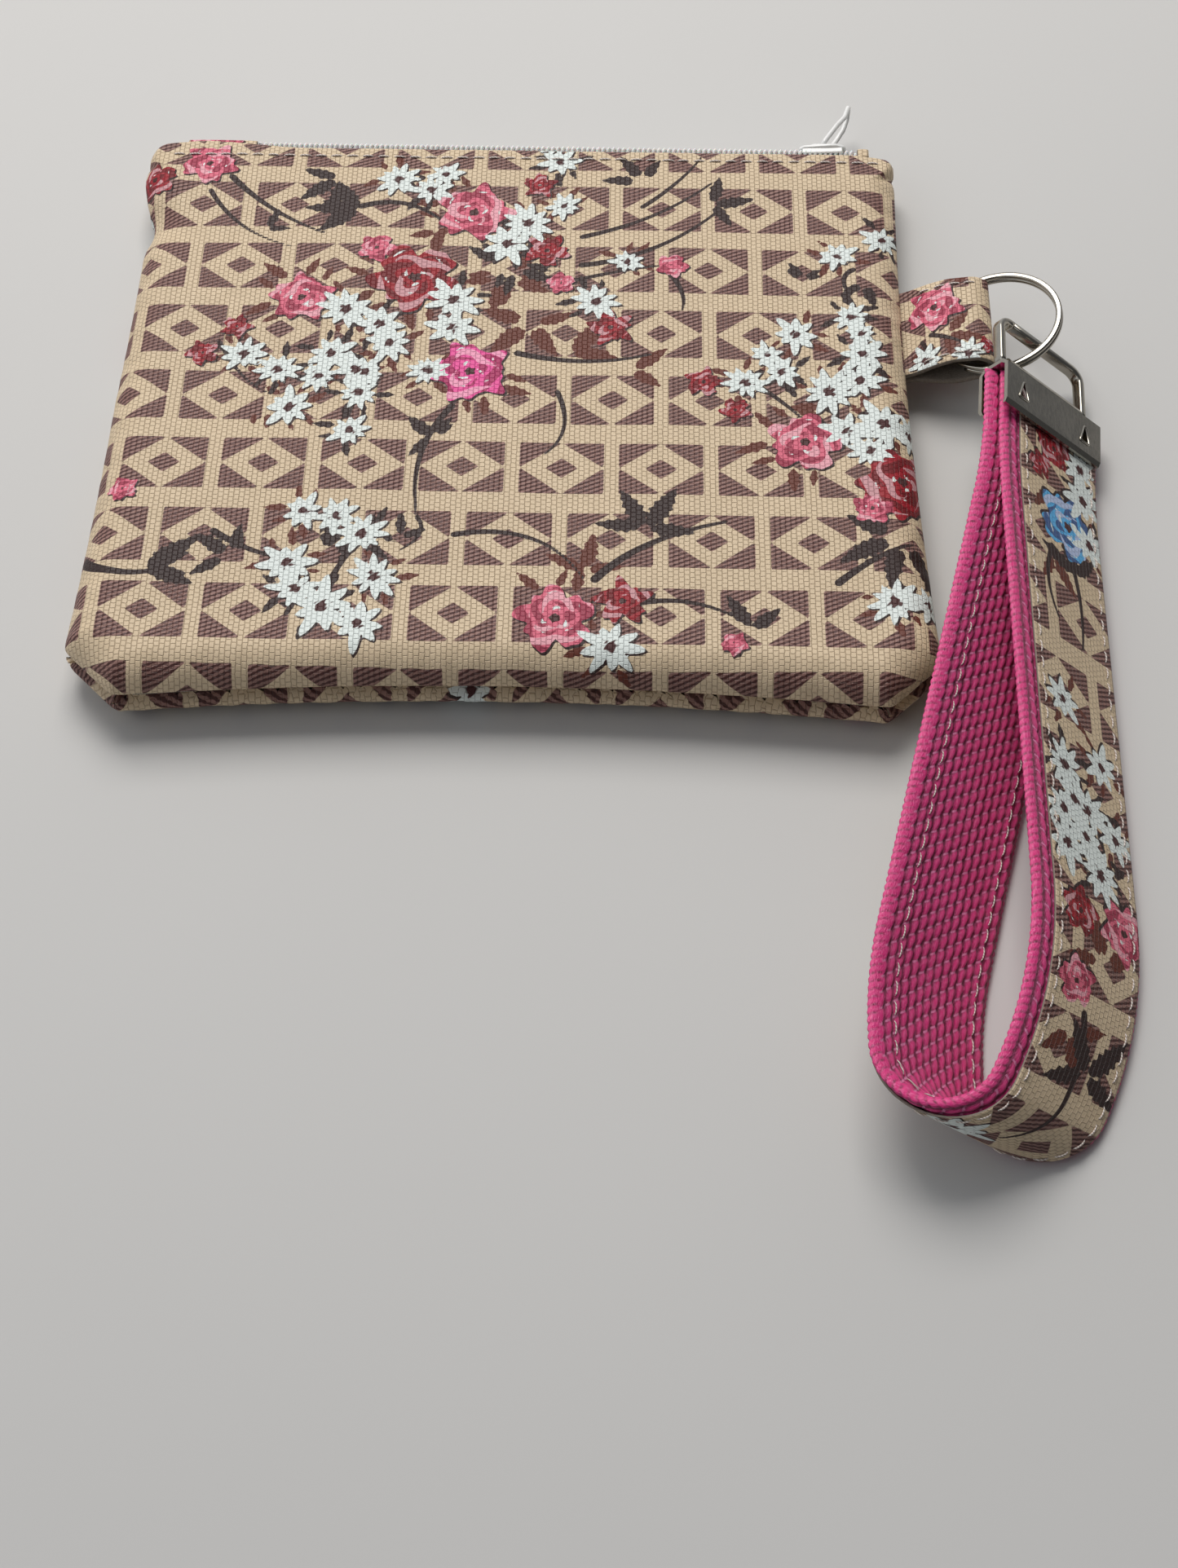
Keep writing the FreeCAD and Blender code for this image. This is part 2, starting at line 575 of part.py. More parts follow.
bail_start = (size["clamp_long"] - size["bail_long"]) / 2 + size["bail_wire"]
pin_length = 3.6
pins = []
for name, start in (("low", bail_start - 0.2),
                    ("high", size["clamp_long"] - bail_start + 0.2 - pin_length)):
    pin = doc.addObject("Part::Cylinder", "bail_pin_" + name)
    pin.setExpression("Radius", "sizes.pin")
    pin.Height = pin_length
    pin.Placement = bail_place.multiply(
        FreeCAD.Placement(Vec(start, 0, 0), FreeCAD.Rotation(Vec(0, 1, 0), 90)))
    pins.append(pin)
keep(fuse("bail_fuse", [bail_frame, pins[0], pins[1]]), "bail")

# ---------------------------------------------------------------- strap
# Level section of the strap: straight runs and tangent arcs, from one layer in the clamp round
# the far bend and back to the other layer.  Arcs are (radius, turn in degrees), left turns positive.

LAYER_APART = 2 * size["web_half"] + 0.3
CLAMPED = 11.0
RUN_ARCS = [(220, 4.5), (84, -26), (10.2, None), (90, -14.5), (120, 8.5)]


def normal(angle):
    return Vec(-math.sin(angle), math.cos(angle), 0)


def heading(angle):
    return Vec(math.cos(angle), math.sin(angle), 0)


def walk(first_run, second_run):
    """The strap's centre line as a list of steps: (kind, start, angle, length or radius, turn)."""
    known = sum(turn for radius, turn in RUN_ARCS if turn is not None)
    bend = -180 - known
    arcs = [(radius, bend if turn is None else turn) for radius, turn in RUN_ARCS]
    plan = [CLAMPED, arcs[0], first_run, arcs[1], arcs[2], arcs[3], second_run, arcs[4], CLAMPED]
    point = Vec(LAYER_APART / 2, -1.0, 0)
    angle = math.radians(-90)
    steps = []
    for item in plan:
        if isinstance(item, tuple):
            radius, degrees = item
            turn = math.radians(degrees)
            side = math.copysign(1, turn)
            steps.append(("arc", point, angle, radius, turn))
            centre = point + normal(angle) * (radius * side)
            point = centre - normal(angle + turn) * (radius * side)
            angle += turn
        else:
            steps.append(("line", point, angle, item, 0))
            point = point + heading(angle) * item
    return steps, point


def closed_walk():
    """Choose the two long runs so that the strap comes back beside where it started."""
    target = Vec(-LAYER_APART / 2, -1.0, 0)
    base = walk(0, 0)[1]
    one = walk(1, 0)[1] - base
    two = walk(0, 1)[1] - base
    miss = target - base
    area = one.x * two.y - one.y * two.x
    first = (miss.x * two.y - miss.y * two.x) / area
    second = (one.x * miss.y - one.y * miss.x) / area
    return walk(first, second)[0]


def offset_edges(steps, offset):
    """The edges of the walk moved offset to its left."""
    edges = []
    for kind, point, angle, reach, turn in steps:
        first = point + normal(angle) * offset
        if kind == "line":
            last = first + heading(angle) * reach
            edges.append(Part.LineSegment(first, last).toShape())
            continue
        side = math.copysign(1, turn)
        centre = point + normal(angle) * (reach * side)
        radius = reach * side - offset
        middle = centre - normal(angle + turn / 2) * radius
        last = centre - normal(angle + turn) * radius
        edges.append(Part.Arc(first, middle, last).toShape())
    return edges


def end_point(edges, index, which):
    return edges[index].Vertexes[which].Point


def strap_band(steps, right, left, width):
    """A band of the strap, from right to left of the walk and width wide."""
    inner = offset_edges(steps, right)
    outer = offset_edges(steps, left)
    start_cap = Part.LineSegment(end_point(outer, 0, 0), end_point(inner, 0, 0)).toShape()
    end_cap = Part.LineSegment(end_point(inner, -1, -1), end_point(outer, -1, -1)).toShape()
    wire = Part.Wire(Part.__sortEdges__(inner + [end_cap] + outer[::-1] + [start_cap]))
    return Part.Face(wire).extrude(ruling * width)


strap_steps = closed_walk()
print_rise = (size["web_wide"] - size["print_wide"]) / 2
web_left = size["web_half"]
print_left = web_left + 0.05 + size["print_skin"]


def strap_piece(name, right, left, rise, width):
    """One layer of the strap, raised along the strap's width."""
    piece = plain(name, strap_band(strap_steps, right, left, width))
    piece.Placement = strap_place.multiply(FreeCAD.Placement(ruling * rise, FreeCAD.Rotation()))
    keep(piece, name)


strap_lift = 0.4
strap_piece("strap_webbing", -web_left, web_left, strap_lift, size["web_wide"])
strap_piece("strap_print_strip", web_left + 0.05, print_left, strap_lift + print_rise, size["print_wide"])
for place, rise in (("lower", print_rise + 1.5), ("upper", size["web_wide"] - print_rise - 1.5)):
    strap_piece("strap_stitch_" + place, print_left + 0.02, print_left + 0.25,
                strap_lift + rise, size["stitch"])

# ---------------------------------------------------------------- check and write

doc.recompute()
for item in doc.Objects:
    if "Invalid" in item.State or "Error" in item.State:
        raise RuntimeError(f"{item.Label} did not compute: {item.State}")
for item in nodes:
    if item.Shape.isNull() or not item.Shape.isValid():
        raise RuntimeError(f"{item.Label} has no valid shape")

os.makedirs("parts", exist_ok=True)
for item in nodes:
    item.Shape.exportStep(f"parts/{item.Label}.step")
    bounds = item.Shape.BoundBox
    print(f"{item.Label:22s} solids {len(item.Shape.Solids)} volume {item.Shape.Volume:9.1f}"
          f"  x {bounds.XMin:7.1f} {bounds.XMax:7.1f}  y {bounds.YMin:7.1f} {bounds.YMax:7.1f}"
          f"  z {bounds.ZMin:6.2f} {bounds.ZMax:6.2f}")
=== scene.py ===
import math
import random

import bpy
import numpy as np
from mathutils import Matrix, Vector
from mathutils.kdtree import KDTree


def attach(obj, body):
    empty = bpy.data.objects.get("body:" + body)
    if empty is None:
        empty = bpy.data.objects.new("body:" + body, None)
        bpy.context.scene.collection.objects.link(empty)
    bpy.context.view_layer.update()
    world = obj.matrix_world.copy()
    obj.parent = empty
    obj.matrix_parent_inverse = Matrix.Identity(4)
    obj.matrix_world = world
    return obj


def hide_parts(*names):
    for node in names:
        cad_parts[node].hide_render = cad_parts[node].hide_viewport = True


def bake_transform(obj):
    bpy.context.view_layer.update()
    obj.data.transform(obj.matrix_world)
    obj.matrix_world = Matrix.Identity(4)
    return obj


# A printed canvas wristlet: flat zipper pouch, side tab, split ring, bail, clamp and a folded
# webbing strap.  Sizes are in millimetres in the frame's axes and turn into metres in mesh().
# The fabric print is drawn as signed distances on the cloth, stored on each mesh's points.

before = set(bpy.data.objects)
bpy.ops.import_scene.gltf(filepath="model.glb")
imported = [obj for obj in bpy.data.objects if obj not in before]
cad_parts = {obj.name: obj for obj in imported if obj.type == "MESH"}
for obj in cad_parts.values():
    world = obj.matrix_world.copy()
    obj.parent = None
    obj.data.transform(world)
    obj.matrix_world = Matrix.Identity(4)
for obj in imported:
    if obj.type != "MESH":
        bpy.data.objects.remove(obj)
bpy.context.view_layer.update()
MM = 0.001
random.seed(11)

# ---------------------------------------------------------------- sizes, millimetres

HALF_TOP, HALF_LOW = 77.0, 79.0
EDGE_Y, FOOT_Y, FOOT_BOW, SIDE_BOW = 70.0, -68.5, 3.5, 1.6
CORNER_CUT, CORNER_ROUND = 12.0, 5.0
SEAM_Z, ROOF_LOW, ROOF_HIGH = 6.8, 14.5, 10.6
ROLL, ROLL_SLACK, LIP_ROLL, LIP_SLACK = 7.5, 3.6, 1.5, 0.6
LIP_FRONT, LIP_BACK = 9.6, 3.2
SEAM_RECESS = 3.2
ZIP_Z, TAPE_FACE, COIL_LEFT, COIL_RIGHT, SLIDER_X = 7.0, 70.8, -56.0, 68.3, 61.5
TAB_Y, TAB_WIDE, TAB_LONG, TAB_BELLY, TAB_ROOT, TAB_RISE = 22.8, 21.6, 16.0, 3.4, 1.3, 14.0
RING_X, RING_Z, RING_TILT, RING_MID = 94.0, 11.0, 17.0, 11.85
LEAN = math.radians(40.0)
STRAP_ORIGIN, STRAP_YAW, STRAP_PITCH = (110.6, 2.4, 3.1), -5.0, 1.1
WEB_WIDE, WEB_HALF, PRINT_WIDE, STRAP_LIFT = 25.4, 1.3, 21.4, 0.4
PRINT_RISE = (WEB_WIDE - PRINT_WIDE) / 2
CLAMP_LONG, KNUCKLE_Y = 26.4, 1.5
BAIL_LONG, BAIL_HIGH, BAIL_WIRE, BAIL_FACE, BAIL_DROOP = 24.4, 12.2, 1.5, 2.3, 3.0
LAYER_APART, CLAMPED = 2 * WEB_HALF + 0.3, 11.0
RUN_ARCS = [(220, 4.5), (84, -26), (10.2, None), (90, -14.5), (120, 8.5)]

CLOTH_STEP = 0.56
MOUTH_OPEN, MOUTH_SHUT, MOUTH_SEAM_X, MOUTH_SEAM_IN = 67.5, 73.0, 73.5, 3.2
LINING_SCALE, LINING_STEP, LINING_TOP, LINING_THICK = 0.972, 2.2, 60.0, 0.3
LINING_INSIDE, LINING_APART = 1.35, 0.35
TAPE_IN, TAPE_HALF, TAPE_RISE, TAPE_THICK = 57.5, 69.0, 2.4, 0.45
COIL_PITCH, COIL_WIRE, COIL_STEPS = 1.05, 0.74, 12
STOP_SPANS = (("left", -70.3, -56.2), ("right", 68.5, 70.7))
STOP_HALF, STOP_BACK, STOP_FRONT, STOP_THICK = 2.9, 1.2, 1.75, 0.7
SLIDER_HALF, SLIDER_PLATE, SLIDER_FACE = 5.0, 0.8, TAPE_FACE + 1.8
SLIDER_TOP = SLIDER_FACE + SLIDER_PLATE
PULL_LONG, PULL_HALF, PULL_TIP, PULL_WIRE, PULL_LEAN = 13.5, 2.3, 1.55, 1.05, math.radians(-30)
TAB_THICK, TAB_SEAM, TAB_STEP, PRINT_THICK, PRINT_SEAM = 0.95, 1.6, 0.4, 0.42, 1.6
TOOTH_IN, TOOTH_HALF, TOOTH_LOW, TOOTH_HIGH, JAW_BACK = 4.6, 1.3, -7.9, -3.1, -(5.6 / 2 + 0.8)
STITCH_LONG, STITCH_DIP = 2.7, 0.9


# ---------------------------------------------------------------- mesh helpers

def smoothstep(value, low, high):
    share = np.clip((value - low) / (high - low), 0, 1)
    return share * share * (3 - 2 * share)


def mesh(name, points, faces, smooth=True):
    """A mesh object from points in millimetres and faces, an array or a list of index lists."""
    data = bpy.data.meshes.new(name)
    data.from_pydata((np.asarray(points, float) * MM).tolist(), [], [list(map(int, f)) for f in faces])
    data.validate()
    item = bpy.data.objects.new(name, data)
    bpy.context.scene.collection.objects.link(item)
    if smooth:
        data.polygons.foreach_set("use_smooth", np.ones(len(data.polygons), bool))
    return item


def store(item, name, values):
    """Put one number or one 3-vector per point on the mesh."""
    values = np.asarray(values, np.float32)
    vector = values.ndim == 2
    field = item.data.attributes.new(name, "FLOAT_VECTOR" if vector else "FLOAT", "POINT")
    field.data.foreach_set("vector" if vector else "value", values.ravel())


def quads(rows, cols):
    """Faces of a rows by cols grid of points."""
    row = np.arange(rows - 1)[:, None]
    col = np.arange(cols - 1)[None, :]
    start = row * cols + col
    return np.stack([start, start + 1, start + cols + 1, start + cols], -1).reshape(-1, 4)


def tube(rows, cols, closed=False):
    """Faces round a tube of rows rings of cols points, with caps unless its ends meet."""
    row = np.arange(rows if closed else rows - 1)[:, None]
    col = np.arange(cols)[None, :]
    after, beside = (row + 1) % rows, (col + 1) % cols
    corners = [row * cols + col, row * cols + beside, after * cols + beside, after * cols + col]
    faces = np.stack(corners, -1).reshape(-1, 4).tolist()
    if not closed:
        faces += [list(range(cols))[::-1], list(range((rows - 1) * cols, rows * cols))]
    return faces


def unit(vectors):
    return vectors / np.linalg.norm(vectors, axis=-1, keepdims=True)


def reach_along(path):
    """Each point's distance along the path."""
    return np.concatenate([[0], np.cumsum(np.linalg.norm(np.diff(path, axis=0), axis=1))])


def points_at(places, reach, path):
    """The path's points at the given distances along it."""
    return np.stack([np.interp(places, reach, path[:, k]) for k in range(path.shape[1])], 1)


def resample(path, step=None, count=None):
    """The path's points at even distances, about step apart or count of them, and the distances."""
    path = np.asarray(path, float)
    reach = reach_along(path)
    places = np.linspace(0, reach[-1], count or max(2, int(round(reach[-1] / step)) + 1))
    return points_at(places, reach, path), places


def softened(padded, width):
    """Plane points averaged over width neighbours; half a width of padding goes from each end."""
    kernel = np.hanning(width) / np.hanning(width).sum()
    return np.stack([np.convolve(padded[:, k], kernel, "valid") for k in (0, 1)], 1)


def hump(value, centre, width):
    return np.exp(-((value - centre) / width) ** 2)


def grid_normals(grid):
    """Unit normals of a rows x cols x 3 grid."""
    along = np.gradient(grid, axis=0)
    across = np.gradient(grid, axis=1)
    normals = np.cross(along, across)
    return normals / np.maximum(np.linalg.norm(normals, axis=2, keepdims=True), 1e-9)


def border(rows, cols):
    """Indices round a grid's edge, in order."""
    right = [r * cols + cols - 1 for r in range(1, rows)]
    high = [(rows - 1) * cols + c for c in range(cols - 2, -1, -1)]
    left = [r * cols for r in range(rows - 2, 0, -1)]
    return np.array(list(range(cols)) + right + high + left)


def shell(name, outer, thickness, backing=1):
    """A closed sheet: the grid as its outer face, and the same grid thickness inside it."""
    rows, cols = outer.shape[:2]
    inner = outer - grid_normals(outer) * thickness
    count = rows * cols
    front = quads(rows, cols)
    back = front[:, ::-1] + count
    loop = border(rows, cols)
    after = np.roll(loop, -1)
    rim = np.stack([after, loop, loop + count, after + count], -1)
    item = mesh(name, np.concatenate([outer.reshape(-1, 3), inner.reshape(-1, 3)]),
                np.concatenate([front, back, rim]))
    slots = np.zeros(len(item.data.polygons), np.int32)
    slots[len(front):] = backing
    item.data.polygons.foreach_set("material_index", slots)
    return item


def sweep(name, path, section, axis, closed=False):
    """A bar of the given section along a path.  Section points are (sideways, along axis)."""
    path = np.asarray(path, float)
    section = np.asarray(section, float)
    if closed:
        tangent = unit(np.roll(path, -1, 0) - np.roll(path, 1, 0))
    else:
        tangent = unit(np.gradient(path, axis=0))
    side = unit(np.cross(tangent, np.asarray(axis, float)))
    up = np.cross(side, tangent)
    points = path[:, None] + side[:, None] * section[None, :, :1] + up[:, None] * section[None, :, 1:]
    return mesh(name, points.reshape(-1, 3), tube(*points.shape[:2], closed))


def round_section(width, height, corner, steps=3):
    """A rectangle with rounded corners, as section points in order."""
    points = []
    for quarter in range(4):
        sx = 1 if quarter in (0, 3) else -1
        sy = 1 if quarter in (0, 1) else -1
        for step in range(steps + 1):
            angle = math.radians(90 * quarter + 90 * step / steps)
            points.append((sx * (width / 2 - corner) + corner * math.cos(angle),
                           sy * (height / 2 - corner) + corner * math.sin(angle)))
    return points


def rounded_path(corners, radii, steps=8, closed=False):
    """A polyline through corners whose turns are replaced by tangent arcs of the given radii."""
    corners = [Vector(c) for c in corners]
    count = len(corners)
    points = []
    for index, corner in enumerate(corners):
        radius = radii[index]
        if radius == 0 or (not closed and index in (0, count - 1)):
            points.append(corner)
            continue
        back = (corners[index - 1] - corner).normalized()
        ahead = (corners[(index + 1) % count] - corner).normalized()
        half = back.angle(ahead) / 2
        reach = radius / math.tan(half)
        centre = corner + (back + ahead).normalized() * (radius / math.sin(half))
        first = corner + back * reach - centre
        last = corner + ahead * reach - centre
        total = first.angle(last)
        for step in range(steps + 1):
            share = step / steps
            points.append(centre + (first * math.sin((1 - share) * total)
                                    + last * math.sin(share * total)) / math.sin(total))
    return np.array([tuple(p) for p in points])


def move(points, matrix):
    """Points in millimetres through a 4x4 matrix."""
    matrix = np.array(matrix)
    return np.asarray(points) @ matrix[:3, :3].T + matrix[:3, 3]


def stitches(name, path, normals, length, gap, radius):
    """Separate stitches of thread along a path, each one bowed out of the cloth."""
    sides, rings = 6, 7
    path = np.asarray(path, float)
    reach = reach_along(path)
    share = np.linspace(0, 1, rings)
    arch = np.sin(math.pi * share) ** 0.5
    lift = radius * (arch * (1 + STITCH_DIP) - STITCH_DIP)
    width = radius * (0.55 + 0.45 * arch)
    angle = np.linspace(0, 2 * math.pi, sides, endpoint=False)
    points, faces = [], []
    place = gap
    while place + length < reach[-1]:
        spots = place + share * length * random.uniform(0.93, 1.03)
        centre, out = points_at(spots, reach, path), points_at(spots, reach, normals)
        side = np.cross(unit(np.gradient(centre, axis=0)), out)
        sway = random.uniform(-0.12, 0.12) * (share - 0.5)
        centre = centre + out * lift[:, None] + side * sway[:, None]
        ring = (centre[:, None] + side[:, None] * (np.cos(angle)[None, :, None] * width[:, None, None])
                + out[:, None] * (np.sin(angle)[None, :, None] * width[:, None, None]))
        base = len(points) * rings * sides
        points.append(ring.reshape(-1, 3))
        faces += [[base + k for k in face] for face in tube(rings, sides)]
        place += length + gap
    return mesh(name, np.concatenate(points), faces)


def join(name, pieces):
    """One object from several meshes."""
    points, faces = [], []
    for piece in pieces:
        base = len(points)
        points += [tuple(v.co / MM) for v in piece.data.vertices]
        faces += [[base + k for k in polygon.vertices] for polygon in piece.data.polygons]
        bpy.data.objects.remove(piece)
    return mesh(name, points, faces)


def bevelled(item, width):
    modifier = item.modifiers.new("round_edges", "BEVEL")
    modifier.width = width * MM
    modifier.segments = 3
    modifier.limit_method = "ANGLE"
    modifier.angle_limit = math.radians(30)
    modifier.harden_normals = True
    return item


def dress(item, *materials):
    for material in materials:
        item.data.materials.append(material)


def belong(item, body, slot, node, *materials):
    """Dress a piece, tie it to its body, and hide the CAD node that it replaces. The slot argument is not
    used.
    """
    dress(item, *materials)
    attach(item, body)
    if node:
        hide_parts(node)


# ---------------------------------------------------------------- materials

COLUMN, FLOAT, LOOP_SLANT = 1.75, 2.9, 0.55
HATCH_LINE, HATCH_BEAD = 0.98, 1.02


def srgb(red, green, blue):
    """A display colour, 0 to 255, as the linear colour that shaders use."""
    def linear(value):
        value /= 255
        return value / 12.92 if value <= 0.04045 else ((value + 0.055) / 1.055) ** 2.4
    return (linear(red), linear(green), linear(blue), 1.0)


# The second beige is the canvas in painted shade, for the weave's grooves.
BEIGE, BEIGE_GROOVE_SHADE = srgb(222, 200, 168), srgb(192, 166, 134)
MAUVE, TWILL = srgb(150, 113, 104), srgb(78, 42, 38)
STEM, LEAF = srgb(48, 27, 24), srgb(104, 48, 32)
WHITE_INK, HEART = srgb(232, 240, 236), srgb(72, 30, 30)
TINTS = {
    "rose": srgb(222, 104, 128)[:3],
    "magenta": srgb(238, 84, 158)[:3],
    "red": srgb(158, 16, 34)[:3],
    "blue": srgb(92, 178, 232)[:3],
}


class Shader:
    """A material in the making: its nodes and its Principled shader."""

    def __init__(self, name, roughness, **sockets):
        self.material = bpy.data.materials.new(name)
        self.material.use_nodes = True
        self.nodes = self.material.node_tree.nodes
        self.links = self.material.node_tree.links
        self.surface = self.nodes["Principled BSDF"]
        self.surface.inputs["Roughness"].default_value = roughness
        for socket, value in sockets.items():
            self.surface.inputs[socket.replace("_", " ")].default_value = value

    def node(self, kind, inputs=(), out=0, **properties):
        """A node with its properties set and its inputs joined or filled; returns one output."""
        made = self.nodes.new("ShaderNode" + kind)
        for key, value in properties.items():
            setattr(made, key, value)
        for key, value in (inputs.items() if isinstance(inputs, dict) else enumerate(inputs)):
            if value is None:
                continue
            if isinstance(value, bpy.types.NodeSocket):
                self.links.new(value, made.inputs[key])
            else:
                made.inputs[key].default_value = value
        return made.outputs[out]

    def split(self, vector):
        """The X, Y and Z of a vector."""
        parts = self.nodes.new("ShaderNodeSeparateXYZ")
        self.links.new(vector, parts.inputs[0])
        return parts.outputs

    def place(self):
        return self.node("TexCoord", out="Object")

    def wave(self, value, period):
        return self.math("SINE", self.math("MULTIPLY", value, 2 * math.pi / period))

    def inked(self, layer, under, ink):
        """The ink inside a layer's signed distance, and what is under it outside."""
        return self.mix(self.inside(self.field(layer)), under, ink)

    def math(self, operation, first, second=0.0, third=0.0, clamp=False):
        return self.node("Math", (first, second, third), operation=operation, use_clamp=clamp)

    def field(self, name, out="Fac"):
        return self.node("Attribute", out=out, attribute_name=name)

    def inside(self, distance, edge=0.10):
        """1 where a signed distance in millimetres is below zero, over a soft edge."""
        return self.math("MULTIPLY_ADD", distance, -1 / edge, 0.5, clamp=True)

    def mix(self, share, first, second, blend="MIX"):
        return self.node("Mix", {0: share, 6: first, 7: second}, out=2, data_type="RGBA", blend_type=blend)

    def noise(self, scale, vector=None, detail=3.0, rough=0.5):
        return self.node("TexNoise", {"Vector": vector, "Scale": scale, "Detail": detail,
                                      "Roughness": rough})

    def spread(self, value, low, high, to_low, to_high):
        return self.node("MapRange", (value, low, high, to_low, to_high))

    def bump(self, height, distance, strength=1.0, under=None):
        return self.node("Bump", {"Height": height, "Distance": distance, "Strength": strength,
                                  "Normal": under})

    def set(self, socket, value):
        self.links.new(value, self.surface.inputs[socket])


def print_material(name):
    """Coated canvas: embossed weave with painted shade in its grooves, tile motif with a twill hatch, and
    the printed flowers.
    """
    shader = Shader(name, 0.52, Specular_IOR_Level=0.42)
    cloth = shader.field("cloth", "Vector")
    split = shader.split(cloth)
    across, along = split[0], split[1]
    wobble = shader.noise(0.35, cloth, 2.0)
    ribs = shader.node("CombineXYZ", (along, across, 0.0))
    ribs = shader.node("VectorMath", (ribs, shader.node(
        "VectorMath", (shader.noise(0.9, cloth, 2.0), (0.35, 0.35, 0.0)), operation="MULTIPLY")),
        operation="ADD")
    weave = shader.node("TexBrick", {
        "Vector": ribs, "Color1": (1, 1, 1, 1), "Color2": (0.86, 0.86, 0.86, 1), "Mortar": (0, 0, 0, 1),
        "Scale": 1.0, "Mortar Size": 0.13, "Mortar Smooth": 1.0, "Bias": 0.0,
        "Brick Width": 1.12, "Row Height": 0.98}, offset=0.5)
    weave = shader.node("RGBToBW", (weave,))
    fine = shader.noise(5.5, cloth, 4.0, 0.6)

    base = shader.mix(shader.spread(wobble, 0.3, 0.7, 0.0, 1.0), BEIGE, srgb(214, 192, 160))
    # Painted shade: the beige ground is darker in the weave's grooves.
    base = shader.mix(shader.spread(weave, 0.1, 0.75, 0.55, 0.0), base, BEIGE_GROOVE_SHADE)

    slant = shader.math("MULTIPLY_ADD", across, -0.42, along)
    slant = shader.math("ADD", slant, shader.math("MULTIPLY", fine, 0.12))
    beads = shader.math("MULTIPLY", shader.wave(across, HATCH_BEAD), 0.35)
    lines = shader.math("ADD", shader.wave(slant, HATCH_LINE), beads)
    hatch = shader.spread(lines, -0.45, 0.35, 1.0, 0.0)
    twill = shader.mix(hatch, MAUVE, TWILL)
    colour = shader.mix(shader.inside(shader.field("motif"), 0.14), base, twill)
    colour = shader.inked("leaf", colour, LEAF)
    colour = shader.inked("stem", colour, STEM)
    tint = shader.field("tint", "Color")
    deep = shader.mix(1.0, tint, (0.50, 0.26, 0.36, 1), "MULTIPLY")
    pale = shader.mix(0.42, tint, (1.0, 0.74, 0.78, 1))
    petals = shader.inked("vein", tint, deep)
    petals = shader.inked("light", petals, pale)
    # Flowers print over the stems and leaves, and daisies over everything but their hearts.
    colour = shader.inked("bloom", colour, petals)
    colour = shader.inked("white", colour, WHITE_INK)
    colour = shader.inked("heart", colour, HEART)
    # Painted shade: every colour is darkened towards near black in the weave's grooves.
    colour = shader.mix(shader.spread(weave, 0.05, 0.5, 0.14, 0.0), colour, (0.06, 0.045, 0.035, 1))
    shader.set("Base Color", colour)
    shader.set("Roughness", shader.spread(fine, 0.3, 0.7, 0.44, 0.62))
    relief = shader.math("ADD", weave, shader.math("MULTIPLY", fine, 0.35))
    shader.set("Normal", shader.bump(relief, 0.0002, 0.75))
    return shader.material


def cloudy_material(name, roughness, scale, detail, colours, gloss=None, bump=None, **sockets):
    """A plain surface whose colour, gloss and relief follow one soft noise."""
    shader = Shader(name, roughness, **sockets)
    cloud = shader.noise(scale, shader.place(), detail)
    shader.set("Base Color", shader.mix(cloud, *colours))
    if gloss:
        shader.set("Roughness", shader.spread(cloud, 0.3, 0.7, *gloss))
    if bump:
        shader.set("Normal", shader.bump(cloud, *bump))
    return shader.material


def weave_material(name, light, dark, pitch):
    """A plain woven cloth whose threads cross at the given pitch in millimetres, with painted light on the
    raised threads and painted shade between them.
    """
    shader = Shader(name, 0.85, Specular_IOR_Level=0.25)
    place = shader.place()
    split = shader.split(place)
    warp, weft, rise = (shader.wave(part, pitch * MM) for part in split)
    cross = shader.math("MULTIPLY", warp, shader.math("ADD", weft, rise))
    # Painted light and shade: light where the threads rise, dark between them.
    shader.set("Base Color", shader.mix(shader.spread(cross, -1.0, 1.0, 0.0, 1.0), dark, light))
    shader.set("Normal", shader.bump(cross, 0.00012, 0.7))
    return shader.material


def thread_material(name, light, dark):
    shader = Shader(name, 0.55, Specular_IOR_Level=0.35)
    place = shader.place()
    twist = shader.node("TexWave", {"Vector": place, "Scale": 900.0, "Distortion": 2.0, "Detail": 1.0},
                        out=1, bands_direction="DIAGONAL")
    # Painted light and shade: the thread is dark in the grooves of its twist and light on the plies.
    shader.set("Base Color", shader.mix(twist, dark, light))
    shader.set("Normal", shader.bump(twist, 0.00005, 0.8))
    return shader.material


